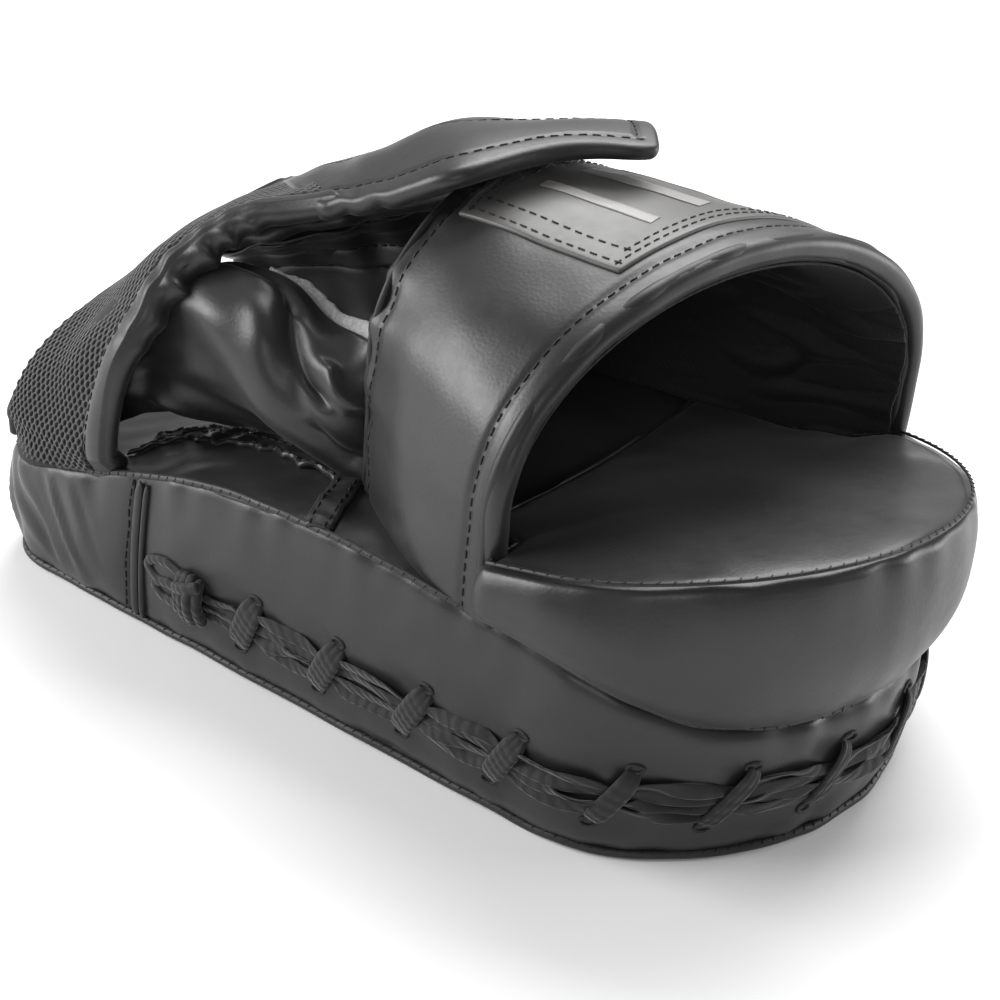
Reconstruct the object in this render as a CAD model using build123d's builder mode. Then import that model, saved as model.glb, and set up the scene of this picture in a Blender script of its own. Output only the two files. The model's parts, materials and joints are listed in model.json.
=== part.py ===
from build123d import *
import math
import os

# Focus mitt, left hand, lying on its target face. Millimetres.
# +Y runs from the heel to the finger tips, +X points to the thumb side, +Z is up.
# The origin is on the target face, at the middle of the pad.

# ---- driving dimensions -------------------------------------------------------------------
PAD_WIDTH = 150.0
PAD_LENGTH = 268.0
TOE_DEPTH, TOE_CORNER = 62.0, 44.0      # finger end: a flat arch of three arcs
HEEL_DEPTH, HEEL_CORNER = 30.0, 26.0    # heel end: squarer, three arcs too
SKIN = 1.6                              # leather thickness
GAP = 0.15                              # air between pieces that lie against each other
WELT_R = 1.4
FACE_FOAM_TOP = 14.0
BOARD = 2.0
HEEL_SEAM = 70.0                        # distance of the upright welts from the heel

# height of the pad's back above the table, by distance from the heel
BACK_HEIGHTS = [(-6, 36), (30, 38.5), (55, 45), (85, 54.5), (112, 59), (137, 60), (157, 59.3),
                (190, 56.5), (210, 54.5), (228, 48), (244, 42), (258, 39.5), (276, 38)]

# the cushion's top is a plane that rises to the finger tips and to the thumb side
CUSHION_START, CUSHION_TIP_Z = 170.0, 83.0
CUSHION_SLOPE, CUSHION_LEAN = 0.233, 0.14
CUSHION_OVERHANG = 4.0

HOOD_HALF, HOOD_SPRING, HOOD_CROWN = 76.0, 85.0, 137.0
HOOD_PAD = 7.0
HOOD_FRONT_NEAR, HOOD_FRONT_FAR = 188.0, 229.0     # front edge at x = +75 and x = -75
HOOD_REAR = 133.0                                  # rear edge, square across the pad
HOOD_REAR_HALF, HOOD_REAR_SPRING, HOOD_REAR_CROWN = 52.0, 100.0, 137.0

LACE_START = 100.0                      # distance from the heel where the laces begin
LACE_LOW, LACE_PITCH, LACE_TALL, LACE_THICK = 13.5, 3.1, 2.7, 1.1
LACE_STRANDS = 4
WRAP_SPACING, WRAP_COUNT, WRAP_LEAN = 28.5, 15, 35.0

# thumb pocket: distance from the heel, half width, foot height and rise, from rear to front
THUMB_ENDS = [(46.0, 33.0, 52.0, 22.0), (69.0, 36.0, 60.0, 45.0), (131.0, 36.0, 64.5, 42.0)]
THUMB_X, THUMB_TURN = 16.0, 62.0

# far wall: distance from the heel, half width, spring and crown height, at its rear and its front
WALL_ENDS = [(10.0, 44.0, 52.0, 78.0), (131.5, 51.0, 99.0, 136.0)]
WALL_FIRST_ANGLE, WALL_PAD = 80.0, 4.0

# cuff and strap: rear and front edge of the band, each (x, distance from the heel, height)
BAND_STATIONS = [
    ((65, 11, 42.5), (75, 61.5, 51.5)),
    ((65, 11.5, 47), (75, 62, 56)),
    ((60, 17, 60), (75, 65, 73)),
    ((48, 24, 73), (69, 69, 92)),
    ((32, 33, 85), (54, 72, 109)),
    ((14, 42, 97), (42, 85, 120.5)),
    ((-6, 57, 109.5), (34, 106, 127)),
    ((-13, 85, 125), (33, 127, 136)),
    ((-18, 111, 138), (28, 142, 144.5)),
    ((-29, 131, 141), (3, 153, 146.5)),
    ((-41, 151, 141.5), (-13, 172, 146)),
]
STRAP_ROOT = 6                          # station where the strap leaves the cuff
FOLD_GAP = 1.4                          # air between the cuff's end and the strap's root
CUFF_THICK, STRAP_THICK = 7.0, 5.0
CLOTH = 1.2


def at(distance_from_heel):
    return distance_from_heel - PAD_LENGTH / 2


# ---- shared shapes ------------------------------------------------------------------------
def end_arch(half, depth, corner):
    """Joint and middle points of a three-arc arch of a given half width and depth."""
    reach, rise = half - corner, depth - corner
    drop = (reach ** 2 - rise ** 2) / (2 * rise)
    crown = drop + depth
    turn = math.atan2(drop, reach)
    joint = (crown * math.cos(turn), crown * math.sin(turn) - drop)
    middle = (reach + corner * math.cos(turn / 2), corner * math.sin(turn / 2))
    return joint, middle


def outline_edges(inset):
    """Pad outline, drawn in the builder that is open: sides, finger end and heel end."""
    half = PAD_WIDTH / 2 - inset
    toe_y, heel_y = at(PAD_LENGTH - TOE_DEPTH), at(HEEL_DEPTH)
    toe, heel = (toe_y, TOE_DEPTH, TOE_CORNER, 1), (heel_y, HEEL_DEPTH, HEEL_CORNER, -1)
    for start_y, depth, corner, way in (toe, heel):
        joint, middle = end_arch(half, depth - inset, corner - inset)
        for side in (1, -1):
            ThreePointArc((side * half, start_y), (side * middle[0], start_y + way * middle[1]),
                          (side * joint[0], start_y + way * joint[1]))
        ThreePointArc((joint[0], start_y + way * joint[1]), (0, start_y + way * (depth - inset)),
                      (-joint[0], start_y + way * joint[1]))
    for side in (1, -1):
        Line((side * half, heel_y), (side * half, toe_y))


def block(inset, low, high):
    """Solid with the pad's outline, inset all round, between two heights."""
    with BuildPart() as solid:
        with BuildSketch(Plane.XY.offset(low)):
            with BuildLine():
                outline_edges(inset)
            make_face()
        extrude(amount=high - low)
    return solid.part


def ring(outset, inset, low, high):
    """Wall with the pad's outline, from outset outside it to inset inside it."""
    return block(-outset, low, high) - block(inset, low - 1, high + 1)


def side_slab(low_points, high_points):
    """Region between two height curves over the heel-to-toe line, as wide as the pad and more."""
    with BuildPart() as slab:
        with BuildSketch(Plane.YZ):
            with BuildLine():
                low = Spline(*low_points) if len(low_points) > 2 else Line(*low_points)
                high = Spline(*high_points) if len(high_points) > 2 else Line(*high_points)
                Line(low @ 0, high @ 0)
                Line(low @ 1, high @ 1)
            make_face()
        extrude(amount=PAD_WIDTH, both=True)
    return slab.part


def back_curve(lift):
    return [(at(d), z + lift) for d, z in BACK_HEIGHTS]


def floor_line(height):
    return [(at(BACK_HEIGHTS[0][0]), height), (at(BACK_HEIGHTS[-1][0]), height)]


def cushion_line(lift):
    ends = (CUSHION_START - 60, PAD_LENGTH + 3 * CUSHION_OVERHANG)
    return [(at(d), CUSHION_TIP_Z + CUSHION_SLOPE * (d - PAD_LENGTH) + lift) for d in ends]


def back_height(distance):
    """Height of the pad's back at a distance from the heel, by straight lines."""
    for (d0, z0), (d1, z1) in zip(BACK_HEIGHTS, BACK_HEIGHTS[1:]):
        if d0 <= distance <= d1:
            return z0 + (z1 - z0) * (distance - d0) / (d1 - d0)
    return BACK_HEIGHTS[-1][1]


def plan_prism(points, low=0, high=200):
    """Upright prism over a polygon seen from above, corners as (x, distance from the heel)."""
    with BuildPart() as prism:
        with BuildSketch(Plane.XY.offset(low)):
            with BuildLine():
                Polyline(*[(x, at(d)) for x, d in points], close=True)
            make_face()
        extrude(amount=high - low)
    return prism.part


def arch_edges(half, spring, crown, foot, thick, first=0.0, last=180.0):
    """Edges of an arched strip: straight legs from foot to spring, an ellipse over the top."""
    rise = crown - spring
    outer = EllipticalCenterArc((0, spring), half, rise, start_angle=first, arc_size=last - first)
    inner = EllipticalCenterArc((0, spring), half - thick, rise - thick, start_angle=first,
                                arc_size=last - first)
    for end, angle in ((0, first), (1, last)):
        if angle % 180 == 0:
            corner_out = ((outer @ end).X, foot)
            corner_in = ((inner @ end).X, foot)
            Line(outer @ end, corner_out)
            Line(inner @ end, corner_in)
            Line(corner_out, corner_in)
        else:
            Line(outer @ end, inner @ end)


def export(builder, name):
    builder.part.label = name
    export_step(builder.part, f"parts/{name}.step")


os.makedirs("parts", exist_ok=True)

# ---- pad body -----------------------------------------------------------------------------
LINER = WELT_R + 1.0                     # how far the filling stays inside the outline
TALL = 120.0
BACK_WELT_TALL = 2.4

with BuildPart() as target_face:
    add(block(LINER, 0, SKIN))
export(target_face, "target_face")

with BuildPart() as face_welt:
    add(ring(0.6, LINER - GAP, 0.2, 2 * WELT_R + 0.2))
    chamfer(face_welt.edges().filter_by(GeomType.CIRCLE, reverse=False).filter_by_position(
        Axis.Z, 0, 0.5), 0.6)
export(face_welt, "face_welt")

with BuildPart() as front_foam:
    add(block(LINER + GAP, SKIN + GAP, FACE_FOAM_TOP))
export(front_foam, "front_foam")

under_panel = SKIN + GAP
under_board = under_panel + BOARD + GAP
with BuildPart() as core_foam:
    add(block(LINER + GAP, FACE_FOAM_TOP + GAP, TALL))
    add(side_slab(floor_line(0), back_curve(-under_board)), mode=Mode.INTERSECT)
export(core_foam, "core_foam")

with BuildPart() as back_board:
    add(block(12, FACE_FOAM_TOP, TALL))
    add(side_slab(back_curve(-under_board + GAP), back_curve(-under_panel)), mode=Mode.INTERSECT)
export(back_board, "back_board")

with BuildPart() as back_panel:
    add(block(SKIN + GAP, FACE_FOAM_TOP, TALL))
    add(side_slab(back_curve(-SKIN), back_curve(0)), mode=Mode.INTERSECT)
export(back_panel, "back_panel")

with BuildPart() as back_welt:
    add(ring(0.8, SKIN, FACE_FOAM_TOP, TALL))
    add(side_slab(back_curve(GAP - BACK_WELT_TALL / 2), back_curve(BACK_WELT_TALL / 2)),
        mode=Mode.INTERSECT)
export(back_welt, "back_welt")

wall_low = 2 * WELT_R + 0.2 + GAP
wall_top = side_slab(floor_line(wall_low), back_curve(-BACK_WELT_TALL / 2))
wall = ring(0, SKIN, wall_low, TALL) & wall_top
WELT_GAP = 1.6
heel_side = plan_prism([(-90, -10), (90, -10), (90, HEEL_SEAM - WELT_GAP),
                        (-90, HEEL_SEAM - WELT_GAP)])
toe_side = plan_prism([(-90, HEEL_SEAM + WELT_GAP), (90, HEEL_SEAM + WELT_GAP), (90, PAD_LENGTH + 9),
                       (-90, PAD_LENGTH + 9)])
with BuildPart() as heel_wall:
    add(wall)
    add(heel_side, mode=Mode.INTERSECT)
export(heel_wall, "heel_wall")

with BuildPart() as side_wall:
    add(wall)
    add(toe_side, mode=Mode.INTERSECT)
export(side_wall, "side_wall")

with BuildPart() as heel_welts:
    for side in (1, -1):
        with BuildSketch(Plane.XY.offset(wall_low)):
            with Locations((side * (PAD_WIDTH / 2 - 0.4), at(HEEL_SEAM))):
                Circle(WELT_R)
        extrude(amount=back_height(HEEL_SEAM) - BACK_WELT_TALL / 2 - wall_low - 0.3)
export(heel_welts, "heel_welts")

# ---- palm grip ----------------------------------------------------------------------------
PALM_X, PALM_D, PALM_R, PALM_HIGH = -8.0, 104.0, 27.0, 15.0
PALM_SINK, PALM_ROUND = 8.0, 12.0


def palm_dome(shrink):
    with BuildPart() as dome:
        with BuildSketch(Plane((PALM_X, at(PALM_D), back_height(PALM_D) - PALM_SINK))):
            Circle(PALM_R - shrink)
        extrude(amount=PALM_HIGH + PALM_SINK - shrink)
        fillet(dome.edges().group_by(Axis.Z)[-1], PALM_ROUND - shrink)
        add(side_slab(back_curve(0.2), floor_line(TALL)), mode=Mode.INTERSECT)
    return dome.part


with BuildPart() as palm_ball:
    add(palm_dome(SKIN + GAP))
export(palm_ball, "palm_ball")

with BuildPart() as palm_ball_cover:
    add(palm_dome(0))
    add(palm_dome(SKIN), mode=Mode.SUBTRACT)
export(palm_ball_cover, "palm_ball_cover")

# ---- hood outline, which the cushion leaves room for --------------------------------------
def hood_front(x):
    return HOOD_FRONT_NEAR + (HOOD_FRONT_FAR - HOOD_FRONT_NEAR) * (75 - x) / 150


HOOD_CLEAR = 1.4                         # how far the hood's feet stay above the pad's back
foot_space = side_slab(back_curve(HOOD_CLEAR), floor_line(200))

def hood_planes():
    """Rear plane, square across the pad, and front plane, slanting so that the far side reaches on."""
    slant = math.atan2(HOOD_FRONT_FAR - HOOD_FRONT_NEAR, 150)
    rear = Plane((0, at(HOOD_REAR), 0), x_dir=(1, 0, 0), z_dir=(0, -1, 0))
    front = Plane((0, at(hood_front(0)), 0), x_dir=(math.cos(slant), -math.sin(slant), 0),
                  z_dir=(-math.sin(slant), -math.cos(slant), 0))
    return rear, front, math.cos(slant)


def hood_layer(inset, thick, front_trim=0.0, rear_trim=0.0):
    """One layer of the hood: an arched tunnel that widens from its rear edge to its front edge."""
    rear, front, stretch = hood_planes()
    with BuildPart() as layer:
        with BuildSketch(rear):
            with BuildLine():
                arch_edges(HOOD_REAR_HALF - inset, HOOD_REAR_SPRING, HOOD_REAR_CROWN - inset, 30, thick)
            make_face()
        with BuildSketch(front):
            with BuildLine():
                arch_edges(HOOD_HALF / stretch - inset, HOOD_SPRING, HOOD_CROWN - inset, 30, thick)
            make_face()
        loft(ruled=True)
        if front_trim:
            split(bisect_by=front.offset(front_trim), keep=Keep.TOP)
        if rear_trim:
            split(bisect_by=rear.offset(-rear_trim), keep=Keep.BOTTOM)
        add(foot_space, mode=Mode.INTERSECT)
    return layer.part


# ---- finger cushion -----------------------------------------------------------------------
cushion_low = BACK_WELT_TALL / 2 + 0.2
HOOD_THICK = SKIN + HOOD_PAD + CLOTH + 2 * GAP
HOOD_ROOM = 0.5
BESIDE_HOOD = 34.0                       # no cushion this far out from the hood
with BuildPart() as hood_room:
    add(hood_layer(-BESIDE_HOOD, HOOD_THICK + BESIDE_HOOD + HOOD_ROOM))
    with BuildSketch(hood_planes()[1].offset(-HOOD_ROOM)):
        with BuildLine():
            arch_edges(HOOD_HALF + 12, HOOD_SPRING, HOOD_CROWN + 12, 30, HOOD_THICK + 12 + HOOD_ROOM)
        make_face()
    extrude(amount=4 * HOOD_ROOM)
cushion_prism = plan_prism([(-90, CUSHION_START), (90, CUSHION_START), (90, PAD_LENGTH + 9),
                            (-90, PAD_LENGTH + 9)])
out = CUSHION_OVERHANG


def cushion_space(low_lift, low, high):
    """Region of the cushion: above the pad's back, and between two lifts of its leaning top."""
    if low is None:
        under_top = side_slab([(y, 0) for y, z in cushion_line(0)], cushion_line(high))
    else:
        under_top = side_slab(cushion_line(low), cushion_line(high))
    lean_axis = Axis((0, 0, CUSHION_TIP_Z), (0, 1, 0))
    under_top = under_top.rotate(lean_axis, -math.degrees(math.atan(CUSHION_LEAN)))
    space = side_slab(back_curve(low_lift), floor_line(TALL)) & cushion_prism & under_top
    return space - hood_room.part


with BuildPart() as cushion_foam:
    add(block(-out + SKIN + GAP, FACE_FOAM_TOP, TALL))
    add(cushion_space(cushion_low, None, -SKIN - GAP), mode=Mode.INTERSECT)
export(cushion_foam, "cushion_foam")

with BuildPart() as cushion_top:
    add(block(-out + SKIN + GAP, FACE_FOAM_TOP, TALL))
    add(cushion_space(cushion_low, -SKIN, 0), mode=Mode.INTERSECT)
export(cushion_top, "cushion_top")

RIM = 1.6
with BuildPart() as cushion_band:
    add(ring(out, -out + SKIN, FACE_FOAM_TOP, TALL))
    add(cushion_space(cushion_low, None, -RIM), mode=Mode.INTERSECT)
export(cushion_band, "cushion_band")

with BuildPart() as cushion_welt:
    add(ring(out + 0.8, -out + SKIN, FACE_FOAM_TOP, TALL))
    add(cushion_space(cushion_low, -RIM + GAP, 0.6), mode=Mode.INTERSECT)
export(cushion_welt, "cushion_welt")

# ---- laces --------------------------------------------------------------------------------
lace_zone = plan_prism([(-90, LACE_START), (90, LACE_START), (90, PAD_LENGTH + 9),
                        (-90, PAD_LENGTH + 9)])
with BuildPart() as lace_strands:
    for strand in range(LACE_STRANDS):
        low = LACE_LOW + strand * LACE_PITCH
        add(ring(GAP + LACE_THICK, -GAP, low, low + LACE_TALL) & lace_zone)
export(lace_strands, "lace_strands")

lace_band = LACE_PITCH * LACE_STRANDS
lace_mid = LACE_LOW + lace_band / 2
wrap_out = 2 * GAP + LACE_THICK
with BuildLine() as lace_path:
    half = PAD_WIDTH / 2 + wrap_out
    toe_joint, toe_middle = end_arch(half, TOE_DEPTH + wrap_out, TOE_CORNER + wrap_out)
    toe_y = at(PAD_LENGTH - TOE_DEPTH)
    Line((half, at(LACE_START)), (half, toe_y))
    ThreePointArc((half, toe_y), (toe_middle[0], toe_y + toe_middle[1]),
                  (toe_joint[0], toe_y + toe_joint[1]))
    ThreePointArc((toe_joint[0], toe_y + toe_joint[1]), (0, toe_y + TOE_DEPTH + wrap_out),
                  (-toe_joint[0], toe_y + toe_joint[1]))
    ThreePointArc((-toe_joint[0], toe_y + toe_joint[1]), (-toe_middle[0], toe_y + toe_middle[1]),
                  (-half, toe_y))
    Line((-half, toe_y), (-half, at(LACE_START)))
lace_wire = lace_path.wires()[0]


def wrap_plane(distance):
    """Plane on the lace band, facing outward, at a distance along the laces."""
    share = distance / lace_wire.length
    point, way = lace_wire @ share, lace_wire % share
    outward = way.cross(Vector(0, 0, 1))
    if outward.dot(Vector(point.X, point.Y - toe_y if point.Y > toe_y else 0, 0)) < 0:
        outward = -outward
    along = Vector(0, 0, 1).cross(outward)
    return Plane(Vector(point.X, point.Y, lace_mid), x_dir=along, z_dir=outward)


WRAP_WIDE, WRAP_THICK = 6.0, 1.5
wrap_tall = lace_band / math.cos(math.radians(WRAP_LEAN)) + 5
first_wrap = (lace_wire.length - WRAP_SPACING * (WRAP_COUNT - 1)) / 2
with BuildPart() as lace_wraps:
    for number in range(WRAP_COUNT):
        spot = wrap_plane(first_wrap + number * WRAP_SPACING)
        with BuildSketch(spot):
            SlotOverall(wrap_tall, WRAP_WIDE, rotation=90 - WRAP_LEAN)
        extrude(amount=WRAP_THICK)
export(lace_wraps, "lace_wraps")

KNOT = (11.0, 14.0, 7.0)
with BuildPart() as lace_knots:
    for side in (1, -1):
        centre = (side * (PAD_WIDTH / 2 + 0.3 + KNOT[2] / 2), at(LACE_START - 7), lace_mid + 2)
        with Locations(Plane(centre, x_dir=(0, 1, 0), z_dir=(side, 0, 0))):
            Box(*KNOT)
    fillet(lace_knots.edges(), 2.6)
export(lace_knots, "lace_knots")

with BuildPart() as lace_loops:
    for side in (1, -1):
        for rise, reach in ((4.5, 13.0), (-3.5, 11.0)):
            spot = Plane((side * (PAD_WIDTH / 2 + 0.3), at(LACE_START - 13 - reach / 2), lace_mid + rise),
                         x_dir=(0, side, 0), z_dir=(side, 0, 0))
            with BuildSketch(spot):
                SlotOverall(reach, 6.4)
                SlotOverall(reach - 3.6, 2.8, mode=Mode.SUBTRACT)
            extrude(amount=2.0)
export(lace_loops, "lace_loops")

# ---- hood ---------------------------------------------------------------------------------
BIND = 3.0
with BuildPart() as hood_shell:
    add(hood_layer(0, SKIN, front_trim=BIND + GAP))
export(hood_shell, "hood_shell")
with BuildPart() as hood_padding:
    add(hood_layer(SKIN + GAP, HOOD_PAD, front_trim=BIND + GAP, rear_trim=3))
export(hood_padding, "hood_padding")
with BuildPart() as hood_lining:
    add(hood_layer(SKIN + HOOD_PAD + 2 * GAP, CLOTH, front_trim=BIND + GAP))
export(hood_lining, "hood_lining")

with BuildPart() as hood_binding:
    add(hood_layer(0, HOOD_THICK))
    split(bisect_by=hood_planes()[1].offset(BIND), keep=Keep.BOTTOM)
export(hood_binding, "hood_binding")

REAR_WELT = 1.3
with BuildPart() as hood_rear_welt:
    add(hood_layer(-REAR_WELT, REAR_WELT - GAP))
    split(bisect_by=hood_planes()[0].offset(-3), keep=Keep.TOP)
export(hood_rear_welt, "hood_rear_welt")

PATCH_THICK = 1.0
PATCH_CORNERS = [(23, HOOD_REAR + 7), (33, 188), (-42, 206), (-34, HOOD_REAR + 7)]
with BuildPart() as hood_patch:
    add(hood_layer(-GAP - PATCH_THICK, PATCH_THICK))
    add(plan_prism(PATCH_CORNERS), mode=Mode.INTERSECT)
export(hood_patch, "hood_patch")

# ---- side tab: slanting strap at the foot of the hood's rear edge --------------------------
TAB_X, TAB_D, TAB_LONG, TAB_WIDE, TAB_THICK = 59.5, 130.0, 27.0, 6.5, 1.4
with BuildPart() as side_tab:
    with BuildSketch(Plane((TAB_X, at(TAB_D), back_height(TAB_D) + 2.0), x_dir=(1, 0.33, 0),
                           z_dir=(0, 0, 1))):
        Rectangle(TAB_LONG, TAB_WIDE)
    extrude(amount=TAB_THICK)
export(side_tab, "side_tab")

# ---- thumb pocket -------------------------------------------------------------------------
def thumb_layer(inset, thick):
    """One layer of the thumb pocket: a quarter tunnel that is lower at its rear end."""
    with BuildPart() as layer:
        for distance, half, base, rise in THUMB_ENDS:
            with BuildSketch(Plane.XZ.offset(-at(distance))):
                with BuildLine():
                    centre = (THUMB_X, base)
                    outer = EllipticalCenterArc(centre, half - inset, rise - inset, start_angle=0,
                                                arc_size=THUMB_TURN)
                    inner = EllipticalCenterArc(centre, half - inset - thick, rise - inset - thick,
                                                start_angle=0, arc_size=THUMB_TURN)
                    Line(outer @ 0, inner @ 0)
                    Line(outer @ 1, inner @ 1)
                make_face()
        loft(ruled=True)
    return layer.part


with BuildPart() as thumb_dome:
    add(thumb_layer(0, SKIN))
export(thumb_dome, "thumb_dome")
with BuildPart() as thumb_lining:
    add(thumb_layer(SKIN + GAP, CLOTH))
export(thumb_lining, "thumb_lining")

HEM_START = 50.0
with BuildPart() as thumb_hem:
    add(side_slab(back_curve(0.1), back_curve(1.9)))
    add(plan_prism([(42, HEM_START), (56, HEM_START), (56, TAB_D - 8), (42, TAB_D - 8)]),
        mode=Mode.INTERSECT)
export(thumb_hem, "thumb_hem")

# ---- far wall -----------------------------------------------------------------------------
def wall_layer(inset, thick):
    with BuildPart() as layer:
        for distance, half, spring, crown in WALL_ENDS:
            with BuildSketch(Plane.XZ.offset(-at(distance))):
                with BuildLine():
                    arch_edges(half - inset, spring, crown - inset, 30, thick, first=WALL_FIRST_ANGLE)
                make_face()
        loft(ruled=True)
        add(foot_space, mode=Mode.INTERSECT)
    return layer.part


with BuildPart() as far_wall:
    add(wall_layer(0, SKIN))
export(far_wall, "far_wall")
with BuildPart() as far_wall_padding:
    add(wall_layer(SKIN + GAP, WALL_PAD))
export(far_wall_padding, "far_wall_padding")
with BuildPart() as far_wall_lining:
    add(wall_layer(SKIN + WALL_PAD + 2 * GAP, CLOTH))
export(far_wall_lining, "far_wall_lining")

with BuildPart() as loop_patch:
    add(wall_layer(-GAP - PATCH_THICK, PATCH_THICK))
    add(plan_prism([(-46, 84), (-12, 84), (-12, 124), (-46, 124)]), mode=Mode.INTERSECT)
export(loop_patch, "loop_patch")

with BuildPart() as inner_patch:
    add(wall_layer(SKIN + WALL_PAD + CLOTH + 3 * GAP, PATCH_THICK))
    add(plan_prism([(-35, 48), (-8, 48), (-8, 76), (-35, 76)]), mode=Mode.INTERSECT)
export(inner_patch, "inner_patch")

# ---- cuff and strap -----------------------------------------------------------------------
def band(first, last, low, high, rear_trim, front_trim, strip=None):
    """Ribbon from station first to last, between two heights over its middle surface."""
    rows = [(Vector(r[0], at(r[1]), r[2]), Vector(f[0], at(f[1]), f[2])) for r, f in BAND_STATIONS]
    mids = [(r + f) * 0.5 for r, f in rows]
    with BuildPart() as ribbon:
        for number in range(first, last + 1):
            rear, front = rows[number]
            way = (mids[min(number + 1, len(rows) - 1)] - mids[max(number - 1, 0)]).normalized()
            across = (front - rear).normalized()
            outward = across.cross(way).normalized()
            shift = way * FOLD_GAP if first == STRAP_ROOT and number == first else Vector(0, 0, 0)
            section = Plane(mids[number] + shift, x_dir=across, z_dir=across.cross(outward))
            side = 1 if section.y_dir.dot(outward) > 0 else -1
            half = (front - rear).length / 2
            right = half - front_trim
            left = rear_trim - half if strip is None else right - strip
            with BuildSketch(section):
                with BuildLine():
                    Polyline((left, side * low), (right, side * low), (right, side * high),
                             (left, side * high), close=True)
                make_face()
        loft()
    return ribbon.part


CUFF_OUT, CUFF_IN = CUFF_THICK / 2, -CUFF_THICK / 2
EDGE, EDGE_OUT = 3.2, 3.0
edge_room = band(0, STRAP_ROOT, CUFF_IN - EDGE_OUT, CUFF_OUT + EDGE_OUT, 0, -EDGE_OUT,
                 strip=EDGE + EDGE_OUT + GAP)
with BuildPart() as cuff_mesh:
    add(band(0, STRAP_ROOT, CUFF_OUT - CLOTH, CUFF_OUT, 0, EDGE / 2))
    add(edge_room, mode=Mode.SUBTRACT)
export(cuff_mesh, "cuff_mesh")
with BuildPart() as cuff_lining:
    add(band(0, STRAP_ROOT, CUFF_IN, CUFF_IN + CLOTH, 0, EDGE / 2))
    add(edge_room, mode=Mode.SUBTRACT)
export(cuff_lining, "cuff_lining")
with BuildPart() as cuff_padding:
    add(band(0, STRAP_ROOT, CUFF_IN + CLOTH + 2 * GAP, CUFF_OUT - CLOTH - 2 * GAP, 0, EDGE / 2))
    add(edge_room, mode=Mode.SUBTRACT)
    add(cuff_mesh.part, mode=Mode.SUBTRACT)
    add(cuff_lining.part, mode=Mode.SUBTRACT)
export(cuff_padding, "cuff_padding")
with BuildPart() as cuff_binding:
    add(band(0, STRAP_ROOT, CUFF_IN - 0.3, CUFF_OUT + 0.5, 0, 0, strip=EDGE - GAP))
export(cuff_binding, "cuff_binding")

TIP = len(BAND_STATIONS) - 1
STRAP_OUT, STRAP_IN = STRAP_THICK / 2, -STRAP_THICK / 2
with BuildPart() as strap_cover:
    add(band(STRAP_ROOT, TIP, STRAP_OUT - SKIN, STRAP_OUT, 0, 0))
export(strap_cover, "strap_cover")
with BuildPart() as strap_padding:
    add(band(STRAP_ROOT, TIP, STRAP_IN + SKIN + GAP, STRAP_OUT - SKIN - GAP, 1.5, 1.5))
export(strap_padding, "strap_padding")
with BuildPart() as strap_lining:
    add(band(STRAP_ROOT, TIP, STRAP_IN, STRAP_IN + SKIN, 0, 0))
export(strap_lining, "strap_lining")
HOOK_END = -14.0                         # the hook patch stays on the strap's far part
with BuildPart() as hook_patch:
    add(band(STRAP_ROOT, TIP, STRAP_IN - GAP - PATCH_THICK, STRAP_IN - GAP, 5, 5))
    add(plan_prism([(-90, 121), (HOOK_END, 121), (HOOK_END, 158), (-90, 158)]), mode=Mode.INTERSECT)
export(hook_patch, "hook_patch")
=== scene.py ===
import json
import math

import bmesh
import bpy
import numpy as np
from mathutils import Matrix, Vector
from mathutils.bvhtree import BVHTree


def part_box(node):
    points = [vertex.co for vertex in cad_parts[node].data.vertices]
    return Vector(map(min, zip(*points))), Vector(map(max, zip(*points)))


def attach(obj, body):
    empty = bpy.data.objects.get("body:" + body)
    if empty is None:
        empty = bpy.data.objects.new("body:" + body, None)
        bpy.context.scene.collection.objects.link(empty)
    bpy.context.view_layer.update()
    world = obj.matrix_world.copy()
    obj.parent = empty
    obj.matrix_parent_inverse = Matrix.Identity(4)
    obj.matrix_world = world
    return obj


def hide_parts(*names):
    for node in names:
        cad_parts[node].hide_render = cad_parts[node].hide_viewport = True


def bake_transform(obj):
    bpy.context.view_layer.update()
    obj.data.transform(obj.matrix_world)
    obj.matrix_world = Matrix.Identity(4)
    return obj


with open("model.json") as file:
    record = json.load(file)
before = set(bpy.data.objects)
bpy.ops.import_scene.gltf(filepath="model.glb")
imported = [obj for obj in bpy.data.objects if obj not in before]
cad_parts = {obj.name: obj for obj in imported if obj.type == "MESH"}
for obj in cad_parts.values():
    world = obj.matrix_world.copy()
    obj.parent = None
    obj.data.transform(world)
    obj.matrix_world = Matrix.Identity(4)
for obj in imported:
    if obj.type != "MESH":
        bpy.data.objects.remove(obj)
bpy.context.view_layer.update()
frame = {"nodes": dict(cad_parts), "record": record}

# Focus mitt, left hand, lying on its target face. Shapes are worked out in millimetres, in the
# frame's axes, and written to the meshes in metres. Distances along the mitt are counted from
# its heel: at() turns one into a Y coordinate.
MM = 0.001


def node_box(node):
    low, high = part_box(node)
    return np.array(low) / MM, np.array(high) / MM


HALF = node_box("side_wall")[1][0]
TOE = node_box("side_wall")[1][1]
HEEL = node_box("heel_wall")[0][1]
TOE_DEPTH, TOE_CORNER = 62.0, 44.0
HEEL_DEPTH, HEEL_CORNER = 30.0, 26.0
OVERHANG = node_box("cushion_band")[1][1] - TOE
HEEL_SEAM = node_box("heel_welts")[0][1] - HEEL + 1.4
LACE_LOW, LACE_HIGH = node_box("lace_strands")[0][2], node_box("lace_strands")[1][2]
LACE_MID = (LACE_LOW + LACE_HIGH) / 2
LACE_START = node_box("lace_strands")[0][1] - HEEL


def at(distance):
    return HEEL + distance


# ---- numbers ------------------------------------------------------------------------------
def unit(vectors):
    return vectors / np.maximum(np.linalg.norm(vectors, axis=-1, keepdims=True), 1e-9)


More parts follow.
